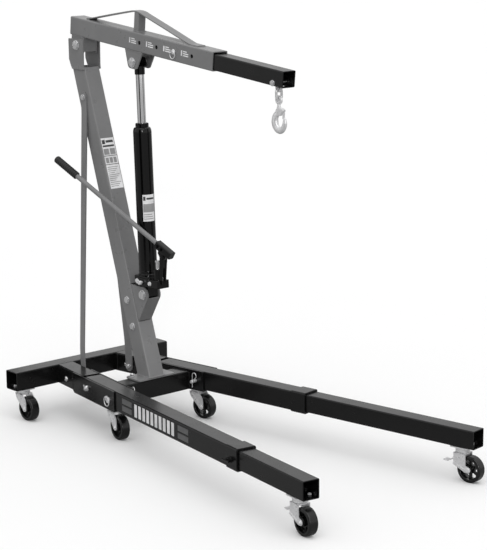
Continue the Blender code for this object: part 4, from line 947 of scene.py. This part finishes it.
def truss(h):
    """Bent strap over the boom and the strut that carries its peak."""
    arch = [(0.07, 0.0322), (0.086, 0.0345), (0.2, 0.0645), (0.3, 0.0897), (0.318, 0.0925), (0.334, 0.0928),
            (0.35, 0.0906), (0.366, 0.0864), (0.48, 0.06), (0.59, 0.0338), (0.606, 0.0318), (0.64, 0.0315)]
    path = smooth_path([(x, 0, z) for x, z in arch], 6)
    rings = []
    for k, p in enumerate(path):
        along = (path[min(k + 1, len(path) - 1)] - path[max(k - 1, 0)]).normalized()
        up = Vector((-along.z, 0, along.x)) * 0.0018
        rings.append([p + up * s + Vector((0, y, 0)) for s,
                      y in ((1, -0.016), (1, 0.016), (-1, 0.016), (-1, -0.016))])
    show("truss_strap", move(skin(rings), BOOM_FRAME), "boom", GREY, bevel=0.0006, limit=50)
    strut = move(tube(h - 0.0005, 0.0915, 0.03, 0.024, 0.0025, 0.003), at(0.332) @ turned(-90, "Y"))
    show("truss_strut", move(strut, BOOM_FRAME), "boom", GREY)


def boom_brackets(half, h):
    """Rear saddle, ram clevis and the clevis bolt's head and nut."""
    top = 0.001 - h
    saddle = [(0.008, top), (0.075, top), (0.075, -0.08), (0.072, -0.085), (0.068, -0.087), (0.018, -0.087),
              (0.011, -0.085), (0.008, -0.079)]
    clevis = [(0.297, top), (0.387, top), (0.365, -0.078), (0.3615, -0.0845), (0.354, -0.088),
              (0.326, -0.088),
              (0.3185, -0.0845), (0.315, -0.078)]
    pivot, head = BOOM_LOCAL @ BOOM_PIVOT, BOOM_LOCAL @ JACK_HEAD
    parts = cheeks(saddle, 0.024, 0.0288, (PIVOT_HOLE, pivot.x, pivot.z))
    parts += cheeks(clevis, 0.024, 0.0288, (PIVOT_HOLE, head.x, head.z))
    parts.append(box((0.07, -0.0242, -0.0775), (0.0748, 0.0242, top)))
    show("boom_brackets", move(merge(*parts), BOOM_FRAME), "boom", GREY, bevel=0.0006)
    fixings = [rod((head.x, half, head.z), (head.x, half + 0.0069, head.z), 0.007, 28)]
    for sign in (-1, 1):
        place = at(head.x, sign * half, head.z) @ turned(90 - 90 * sign, "Z")
        fixings.append(move(merge(washer(0.0165, -0.0001, 0.0014, 0.002), hexagon(0.0135, 0.0014, 0.0069)),
                            place))
    show("ram_head_fixing", move(merge(*fixings), BOOM_FRAME), "boom", BOLT_ZINC, bevel=0.0003)


def boom_extension():
    half, drop, slack = 0.025, 0.0017, 0.0056
    whole = shifted(tube(0.4, 1.0418, 0.05, 0.05, WALL, 0.0038), z=-drop)
    slot = box((PIN_AT - PIN_STEP - slack, -0.05, -0.0054), (PIN_AT + 2 * PIN_STEP + slack, 0.05, 0.0054))
    mouth = prism([(1.004 + x, y) for x, y in rounded(0.052, 0.015, 0.007)], -0.05, -half - drop + 0.004,
                  "xy")
    whole = cut(whole, slot, bore(0.0048, *HOOK_BOLT), mouth)
    show("boom_inner_tube", move(whole, BOOM_FRAME), "boom_extension", BLACK, "boom_extension")
    made = move(bolt(0.05, 0.0045, 0.005, 0.005), BOOM_FRAME @ at(HOOK_BOLT[0], -half, HOOK_BOLT[1]))
    show("hook_cross_bolt", made, "boom_extension", BOLT_ZINC, "hook_bolt", bevel=0.0003)


def boom_pin():
    half = BOOM_HALF_WIDTH
    shank = lathe([(0, -half - 0.004), (0.005, -half - 0.004), (0.005, half + 0.0055),
                   (0.0038, half + 0.007),
                   (0, half + 0.007)], 28, "y")
    head = lathe([(0, -0.0046), (0.007, -0.0044), (0.0085, -0.003), (0.0085, -0.0003), (0, -0.0003)], 32,
                 "y")
    ring = swept(circle((0, -half - 0.0055, -0.0095), 0.0115, 36), 0.0014, 10, True)
    made = move(merge(shank, shifted(head, y=-half), ring), BOOM_FRAME @ at(PIN_AT))
    show("boom_lock_pin", made, "boom_pin", WIRE_ZINC, "boom_pin", bevel=0.0003)


# ---- hook and chain ----
WIRE, LINK_HALF, LINK_SIDE, EYE_WIRE, EYE_R, SLACK = 0.0038, 0.017, 0.0105, 0.0045, 0.0095, 0.0006
HOOK_TOP = BOOM_FRAME @ Vector((HOOK_BOLT[0], 0, HOOK_BOLT[1]))
LINK_1_TOP = 0.0045 + WIRE + 0.0004
LINK_2_TOP = LINK_1_TOP - 2 * LINK_HALF + 2 * WIRE + SLACK
EYE_TOP = LINK_2_TOP - 2 * LINK_HALF + WIRE + EYE_WIRE + SLACK
EYE_CENTRE = HOOK_TOP + Vector((0, 0, EYE_TOP - EYE_R))


def chain_link(name, top, across):
    across = Vector(across)
    middle = HOOK_TOP + Vector((0, 0, top - LINK_HALF))
    reach = LINK_HALF - LINK_SIDE
    path = []
    for k in range(48):
        t = 2 * math.pi * (k + 0.5) / 48
        lift = reach if math.sin(t) > 0 else -reach
        path.append(middle + across * LINK_SIDE * math.cos(t)
                    + Vector((0, 0, lift + LINK_SIDE * math.sin(t))))
    wire = swept(path, WIRE, 16, True, across.cross(Vector((0, 0, 1))))
    show(name + "_wire", wire, name, WIRE_ZINC, name, bevel=0)


def hook():
    eye = swept(circle((0, 0, 0), EYE_R, 40), EYE_WIRE, 16, True)
    bowl = Vector((0.004, 0, -0.0628))
    path = [Vector((0, 0, -EYE_R + 0.001)), Vector((-0.001, 0, -0.024))]
    for k in range(12):
        t = math.radians(118 + 23.2 * k)
        path.append(bowl + Vector((0.0215 * math.cos(t), 0, 0.0265 * math.sin(t))))
    path.append(bowl + Vector((0.0222, 0, 0.0135)))
    stations = [(0.0, 0.005), (0.16, 0.0092), (0.36, 0.012), (0.62, 0.0105), (0.86, 0.008), (0.97, 0.0046),
                (1.0, 0.0022)]

    def girth(t):
        for (t0, r0), (t1, r1) in zip(stations, stations[1:]):
            if t <= t1:
                return r0 + (r1 - r0) * (t - t0) / (t1 - t0)
        return stations[-1][1]
    body = swept(smooth_path(path, 6), girth, 20, flatten=0.75)
    outline = [(-0.01, -0.0445), (0.004, -0.0465), (0.013, -0.0435), (0.0165, -0.0365), (0.0235, -0.0325),
               (0.024, -0.027), (0.019, -0.024), (0.006, -0.0215), (-0.004, -0.0225), (-0.01, -0.03)]
    shoulder = prism(outline, -0.006, 0.006)
    mod = shoulder.modifiers.new("edges", "BEVEL")
    mod.width = 0.0024
    mod.segments = 4
    mod.limit_method = "ANGLE"
    made = move(merge(eye, body, bake(shoulder)), at(*EYE_CENTRE))
    show("lifting_hook", made, "hook", FORGED, "hook", bevel=0.0)
    tongue = [(0.023, -0.035), (0.02, -0.035), (0.0178, -0.0535), (0.0202, -0.0535)]
    made = move(prism(tongue, -0.004, 0.004), at(*EYE_CENTRE))
    show("latch_tongue", made, "hook_latch", ZINC, "hook_latch", bevel=0.0006)


# ---- jack ----
def jack():
    jack_body()
    pump_fixed_parts()
    small_jack_parts()
    ram()


def pump_bore(depth):
    return rod(plunger_point(-depth), plunger_point(0), 0.0066, 24)


def jack_body():
    """Reservoir tube and the base casting with its lug."""
    hollow = lathe([(0, 0.0645), (ROD_R + 0.0008, 0.0645), (ROD_R + 0.0008, 0.5395), (0.0193, 0.5395),
                    (0.0193, 0.7),
                    (0, 0.7)], 40)
    shell = [(0, 0.062), (0.0318, 0.062), (0.0318, 0.068), (JACK_R, 0.0695), (JACK_R, 0.076),
             (0.0306, 0.0775),
             (0.0306, 0.079), (JACK_R, 0.0805), (JACK_R, 0.523)]
    arc = [math.radians(10 * k) for k in range(10)]
    shell += [(0.0245 + 0.0055 * math.cos(t), 0.53 + 0.017 * math.sin(t)) for t in arc]
    shell += [(0.0235, 0.5478), (0, 0.5478)]
    tank = move(cut(lathe(shell, 64), hollow), JACK_FRAME)
    show("jack_reservoir", tank, "jack", JACK_BLACK, "jack_cylinder", bevel=0.0004)
    arc = [math.radians(180 + 10 * k) for k in range(19)]
    lug = prism([(0.02 * math.cos(a), 0.02 * math.sin(a)) for a in arc] + [(0.02, 0.034), (-0.02, 0.034)],
                -0.0195, 0.0195)
    lug = cut(lug, bore(PIVOT_HOLE))
    block = prism(rounded(0.074, 0.067, 0.01), 0.03, 0.064, "xy")
    shelf = prism([(x + 0.053, y - 0.0205) for x, y in rounded(0.106, 0.047, 0.006)], 0.034, 0.06, "xy")
    valve = rod((0.02, -0.07, 0.047), (0.02, -0.018, 0.047), 0.0049, 20)
    pocket = move(pump_bore(0.085), JACK_FRAME.inverted())
    casting = merge(cut(union(block, shelf), valve, pocket), lug)
    show("jack_base_casting", move(casting, JACK_FRAME), "jack", JACK_BLACK, bevel=0.0016, segments=3)


def pump_fixed_parts():
    """Pump barrel and the two plates that the handle turns on."""
    barrel = cut(rod(plunger_point(-0.095), plunger_point(-0.04), 0.0122, 32), pump_bore(0.088))
    collar = cut(rod(plunger_point(-0.049), plunger_point(-0.0405), 0.0134, 32), pump_bore(0.088))
    show("pump_barrel", merge(barrel, collar), "jack", JACK_BLACK, bevel=0.0006)
    down = HANDLE_PIVOT.z - (JACK_FOOT.z + 0.064 - 0.012)
    outline = [(-0.001, -down), (0.01, -down), (0.0095, -0.02), (0.0085, 0.0), (0.0078, 0.0042),
               (0.006, 0.0066),
               (0.003, 0.0082), (0.0, 0.0085), (-0.003, 0.0082), (-0.006, 0.0066), (-0.0078, 0.0042),
               (-0.0085, 0.0),
               (-0.006, -0.02)]
    parts = cheeks(outline, 0.0075, 0.0105) + [bore(0.0036, reach=0.0122)]
    parts.append(lathe([(0, 0.0105), (0.0058, 0.0105), (0.0052, 0.0125), (0, 0.0125)], 24, "y"))
    parts.append(lathe([(0, -0.0125), (0.0052, -0.0125), (0.0058, -0.0105), (0, -0.0105)], 24, "y"))
    show("pump_link_plates", move(merge(*parts), HANDLE_FRAME), "jack", JACK_BLACK, bevel=0.0005)


def small_jack_parts():
    """Oil plugs, release screw and gland nut."""
    plugs = []
    for x, y, z in ((-0.018, -0.0336, 0.047), (0.000, -0.0442, 0.0475), (0.062, -0.0442, 0.047)):
        plug = merge(hexagon(0.0062, 0.0, 0.0042), washer(0.0072, -0.001, 0.0004, 0.001))
        plugs.append(move(plug, at(x, y, z) @ turned(180, "Z")))
    show("jack_oil_plugs", move(merge(*plugs), JACK_FRAME), "jack", ZINC, bevel=0.0002)
    stem = lathe([(0, 0.0), (0.0045, 0.0), (0.0045, 0.028), (0.007, 0.0285), (0.007, 0.0355),
                  (0.0062, 0.0365),
                  (0, 0.0365)], 28, "y")
    stem = cut(stem, box((-0.0015, 0.0315, -0.012), (0.0015, 0.05, 0.012)))
    made = move(stem, JACK_FRAME @ at(0.02, -0.02, 0.047) @ turned(180, "Z"))
    show("release_screw", made, "release_valve", ZINC, "release_valve", bevel=0.0003)
    profile = [(0.0139, -0.0215), (0.0188, -0.0215), (0.0188, -0.0137), (0.0215, -0.0137), (0.0215, -0.003),
               (0.02, -0.001), (0.0165, -0.0004), (0.0155, 0), (0.0139, 0)]
    notches = []
    for k in range(4):
        tool = box((0.0175, -0.0025, -0.005), (0.0265, 0.0025, 0.01))
        notches.append(move(tool, turned(90 * k + 20, "Z")))
    nut = move(cut(lathe(profile, 48), *notches), JACK_FRAME @ at(z=GLAND_TOP))
    show("jack_gland", nut, "jack", JACK_BLACK, "gland_nut", bevel=0.0003)


def ram():
    top = JACK_SPAN - 0.03
    shaft = lathe([(0, 0.2), (ROD_R - 0.001, 0.2), (ROD_R, 0.201), (ROD_R, top), (0, top)], 56)
    show("ram_shaft", move(shaft, JACK_FRAME), "ram", CHROME, "ram", bevel=0)
    collar = lathe([(0, -0.04), (0.0155, -0.04), (0.0165, -0.039), (0.0165, -0.01), (0, -0.01)], 48)
    arc = [math.radians(7.5 * k) for k in range(25)]
    eye = prism([(0.0165 * math.cos(a), 0.0165 * math.sin(a)) for a in arc]
                + [(-0.0165, -0.014), (0.0165, -0.014)],
                -0.0165, 0.0165)
    eye = cut(union(collar, eye), bore(PIVOT_HOLE))
    show("ram_eye", move(eye, JACK_FRAME @ at(z=JACK_SPAN)), "ram", JACK_BLACK, bevel=0.0006)


def pump():
    half = 0.0125
    sleeve = prism(rounded(2 * half, 2 * half, 0.0045), -0.026, 0.043, "yz")
    heel = prism([(-0.009, -0.011), (-0.009, -0.028), (-0.007, -0.032), (-0.004, -0.0335), (0.004, -0.0335),
                  (0.009, -0.031), (0.024, -0.022), (0.026, -0.011)], -0.0065, 0.0065)
    socket = cut(union(sleeve, heel), rod((-0.02, 0, 0), (0.06, 0, 0), 0.0083, 32))
    socket = cut(move(socket, HANDLE_FRAME.inverted() @ BAR_FRAME), bore(0.0041))
    show("pump_lever_socket", move(socket, HANDLE_FRAME), "pump_handle", JACK_BLACK, "pump_socket",
         bevel=0.0009,
         segments=3)
    screws = []
    for x in (0.016, 0.034):
        head = merge(hexagon(0.005, -0.0008, -0.0062), washer(0.0062, -0.001, 0.0002, 0.001))
        screws.append(move(head, BAR_FRAME @ at(x, half, -0.002) @ turned(180, "Z")))
    show("lever_clamp_screws", merge(*screws), "pump_handle", JACK_BLACK, bevel=0.0002)
    along = BAR_FRAME @ turned(90, "Y")
    bar = lathe([(0, -0.019), (0.0072, -0.019), (0.0079, -0.018), (0.0079, 0.529), (0.007, 0.53),
                 (0, 0.53)], 36)
    show("pump_lever_bar", move(bar, along), "pump_handle", GREY, "pump_handle", bevel=0)
    show("lever_grip", move(ribbed_grip(0.431, 0.5335, 11), along), "pump_handle", GRIP, "handle_grip",
         bevel=0.0003)
    neck, head = plunger_point(-0.017), plunger_point(-0.011)
    piston = merge(rod(plunger_point(-0.062), head, 0.006, 32), rod(neck, head, 0.0078, 32))
    show("pump_piston", piston, "pump_plunger", CHROME, "pump_plunger", bevel=0.0005)


def ribbed_grip(start, end, ribs):
    profile = [(0, start), (0.0118, start), (0.0126, start + 0.001), (0.0126, start + 0.005)]
    pitch = (end - start - 0.014) / ribs
    for k in range(ribs):
        low = start + 0.006 + k * pitch
        profile += [(0.0112, low), (0.0112, low + pitch * 0.28), (0.0126, low + pitch * 0.42),
                    (0.0126, low + pitch * 0.9)]
    profile += [(0.0124, end - 0.004), (0.011, end - 0.0012), (0.007, end), (0, end)]
    return cut(lathe(profile, 40), rod((0, 0, start - 0.01), (0, 0, 0.5303), 0.0082, 32))


# ---- plain markings, rows of (x, y, width, height, material, level) ----
def decal(name, origin, across, up, rows, body, thick=0.00015):
    """Thin printed blocks on a flat face."""
    across, up = Vector(across).normalized(), Vector(up).normalized()
    out = across.cross(up).normalized()
    groups = {}
    for x, y, w, h, mat, level in rows:
        rise = (1 + level) * thick
        corners = [(x, y), (x + w, y), (x + w, y + h), (x, y + h)]
        rings = [[origin + across * a + up * b + out * c for a, b in corners]
                 for c in (rise - thick * 0.9, rise)]
        groups.setdefault(mat, []).append(skin(rings))
    for mat, blocks in groups.items():
        show("%s_%s" % (name, mat.name), merge(*blocks), body, mat, bevel=0)


def mast_plate():
    """White plate on the mast with plain bars, whose heights are measured down from its top edge."""
    z0, z1, width = 0.775, 0.937, 0.052
    tall = (z1 - z0) / math.cos(POST_LEAN)
    rows = [(-width / 2, 0, width, tall, LABEL_WHITE, 0)]
    bars = [(0.003, 0.03, width - 0.006, 0.006, LABEL_INK), (0.003, 0.02, 0.012, 0.014, LABEL_INK),
            (0.018, 0.016, width - 0.022, 0.008, LABEL_INK), (0, 0.061, width, 0.002, LABEL_INK),
            (0, 0.09, width, 0.002, LABEL_INK)]
    bars += [(x, 0.056, 0.021, 0.02, LABEL_GREY) for x in (0.003, 0.028)]
    bars += [(x, 0.084, 0.012, 0.018, LABEL_GREY) for x in (0.004, 0.02, 0.036)]
    bars += [(0.004, 0.099 + k * 0.0064, width - 0.009 - 0.006 * (k * 5 % 4), 0.0022, LABEL_GREY)
             for k in range(11)]
    rows += [(x - width / 2, tall - down, w, h, mat, 1) for x, down, w, h, mat in bars]
    up = (-math.sin(POST_LEAN), 0, math.cos(POST_LEAN))
    decal("mast_plate", Vector((post_front(z0), 0, z0)), ACROSS, up, rows, "base")


def leg_marks(side):
    """Stripes and blocks on the leg's outer face, mirrored so that both sides read outward."""
    sign, here = SIDES[side], leg_frame(SIDES[side])
    blocks = [(x, y, 0.062, 0.0175, STRIPE) for x in (0.452, 0.8) for y in (0.118, 0.142)]
    blocks += [(0.532 + k * 0.0255, 0.1175, 0.0165, 0.042, LABEL_WHITE) for k in range(10)]
    rows = [(x if sign < 0 else -x - w, y, w, h, mat, 0) for x, y, w, h, mat in blocks]
    across = here.to_3x3() @ Vector((-sign, 0, 0))
    decal("leg_marks_" + side, here @ Vector((0, 0.031, 0)), across, (0, 0, 1), rows, "leg_" + side)


def boom_scale():
    rows = []
    for k in range(4):
        x = PIN_START + k * PIN_STEP
        for dx, y, w, h in ((-0.052, -0.006, 0.006, 0.017), (-0.042, -0.006, 0.026, 0.0035),
                            (-0.042, 0.0005, 0.026, 0.0035), (-0.042, 0.007, 0.018, 0.0035)):
            rows.append((x + dx, y, w, h, LABEL_WHITE, 0))
    turn = BOOM_FRAME.to_3x3()
    origin = BOOM_FRAME @ Vector((0, -BOOM_HALF_WIDTH, 0))
    decal("boom_scale", origin, turn @ Vector((1, 0, 0)), turn @ Vector((0, 0, 1)), rows, "boom")


def jack_label():
    """Curved plate on the reservoir with plain bars: angles in degrees, then heights."""
    patches = [("", -54, 28, 0.244, 0.331, LABEL_WHITE), ("_band", -51, 25, 0.274, 0.301, LABEL_GREY),
               ("_mark", -50, -36, 0.312, 0.325, LABEL_INK), ("_line", -30, 22, 0.315, 0.321, LABEL_INK)]
    for k in range(3):
        low = 0.251 + 0.007 * k
        patches.append(("_row_%d" % k, -50, 16 - 6 * k, low, low + 0.0025, LABEL_GREY))
    for tag, start, end, z0, z1, mat in patches:
        r1 = JACK_R + (0.0004 if tag else 0.0002)
        r0 = r1 - 0.0003
        steps = max(int((end - start) / 4), 2)
        rings = []
        for k in range(steps + 1):
            t = math.radians(start + (end - start) * k / steps)
            rings.append([(r * math.cos(t), r * math.sin(t), z) for r,
                          z in ((r0, z0), (r1, z0), (r1, z1), (r0, z1))])
        show("jack_plate" + tag, move(skin(rings), JACK_FRAME), "jack", mat, bevel=0)


# ---- assembly ----
base_frame()
for side in SIDES:
    for build in (leg, leg_extension, pivot_bolt, lock_pin, lock_clip, extension_knob, support_bar):
        build(side)
for side, sign in SIDES.items():
    front = leg_frame(sign) @ at(FRONT_CASTER_X)
    caster("rear_caster_" + side, rear_frame(sign), FRAME_BOTTOM, "base")
    caster("mid_caster_" + side, leg_frame(sign) @ at(MID_CASTER_X), CHANNEL_FOOT, "base", through=False)
    caster("front_caster_" + side, front, FRONT_CASTER_TOP, "leg_extension_" + side, broad=True)
    brake_pedal(side, front)
post()
brace_bolts()
jack_bracket()
boom()
cross_bolt("boom_hinge_bolt", "boom_pivot_bolt", POST_WIDTH + 0.01, 0.008, BOOM_PIVOT.x, BOOM_PIVOT.z,
           0.007)
boom_extension()
boom_pin()
chain_link("chain_link_upper", LINK_1_TOP, (1, 0, 0))
chain_link("chain_link_lower", LINK_2_TOP, (0, 1, 0))
hook()
jack()
pump()
mast_plate()
for side in SIDES:
    leg_marks(side)
boom_scale()
jack_label()


# ---- floor, light and camera ----
def matt(name, roughness, specular):
    g = Graph(name)
    g.shader.inputs["Roughness"].default_value = roughness
    g.shader.inputs["Specular IOR Level"].default_value = specular
    return g


def stage():
    """Floor that the camera sees pale and that lights the underside only softly."""
    bm = bmesh.new()
    bmesh.ops.create_grid(bm, x_segments=1, y_segments=1, size=90)
    floor = from_bmesh(bm, "floor")
    g = matt("pale_floor", 0.9, 0.1)
    tone = g.mix(g.noise(0.8, 2.0), (0.93, 0.93, 0.93), (0.95, 0.95, 0.95))
    path = g.node("ShaderNodeLightPath")
    g.colour(g.mix(path.outputs["Is Camera Ray"], (0.34, 0.34, 0.34), tone))
    floor.data.materials.append(g.mat)


def flag(name, degrees, width, height=3.2, far=3.4):
    """Dark studio card, seen only in reflections, that draws lines along shiny round pieces."""
    card = box((-width / 2, -0.01, 0.0), (width / 2, 0.01, height))
    place = Matrix.Rotation(CAMERA_TURN + math.radians(degrees), 4, "Z") @ at(y=-far)
    move(card, place).name = name
    g = matt(name, 1.0, 0.0)
    g.colour(g.mix(g.noise(1.0), (0.01, 0.01, 0.01), (0.014, 0.014, 0.014)))
    card.data.materials.append(g.mat)
    card.visible_camera = False
    card.visible_diffuse = False
    card.visible_shadow = False


def world():
    """White surround, a little dimmer as a light than as the camera sees it."""
    made = bpy.data.worlds.new("studio")
    bpy.context.scene.world = made
    made.use_nodes = True
    tree = made.node_tree
    path = tree.nodes.new("ShaderNodeLightPath")
    mixer = tree.nodes.new("ShaderNodeMixShader")
    tree.links.new(path.outputs["Is Camera Ray"], mixer.inputs["Fac"])
    for slot, strength in ((1, 0.8), (2, 1.0)):
        white = tree.nodes.new("ShaderNodeBackground")
        white.inputs["Color"].default_value = (1, 1, 1, 1)
        white.inputs["Strength"].default_value = strength
        tree.links.new(white.outputs["Background"], mixer.inputs[slot])
    tree.links.new(mixer.outputs["Shader"], tree.nodes["World Output"].inputs["Surface"])


def direction(turn, rise):
    """Unit vector towards a light or the camera; turn runs anticlockwise from -Y."""
    return Vector((math.sin(turn) * math.cos(rise), -math.cos(turn) * math.cos(rise), math.sin(rise)))


def sun(name, degrees, height, angle, power):
    """Soft distant light; its turn is measured from the camera's."""
    data = bpy.data.lights.new(name, "SUN")
    data.angle = math.radians(angle)
    data.energy = power
    obj = bpy.data.objects.new(name, data)
    bpy.context.scene.collection.objects.link(obj)
    towards = direction(CAMERA_TURN + math.radians(degrees), math.radians(height))
    obj.rotation_euler = towards.to_track_quat("Z", "Y").to_euler()


def camera():
    back = direction(CAMERA_TURN, CAMERA_RISE)
    right = Vector((math.cos(CAMERA_TURN), math.sin(CAMERA_TURN), 0))
    up = back.cross(right)
    across = right * math.cos(CAMERA_ROLL) + up * math.sin(CAMERA_ROLL)
    upward = -right * math.sin(CAMERA_ROLL) + up * math.cos(CAMERA_ROLL)
    data = bpy.data.cameras.new("camera")
    data.sensor_fit = "HORIZONTAL"
    data.sensor_width = CAMERA_SENSOR
    data.lens = CAMERA_LENS
    obj = bpy.data.objects.new("camera", data)
    bpy.context.scene.collection.objects.link(obj)
    obj.matrix_world = at(*CAMERA_PLACE) @ Matrix((across, upward, back)).transposed().to_4x4()
    bpy.context.scene.camera = obj


stage()
world()
flag("flag_near_left", -34, 1.7)
flag("flag_far_left", -140, 2.6)
flag("flag_right", 82, 0.9)
sun("overhead", 20, 62, 70, 0.9)
sun("from_camera", 2, 14, 6, 0.35)
camera()
bpy.context.scene.view_settings.view_transform = "Standard"
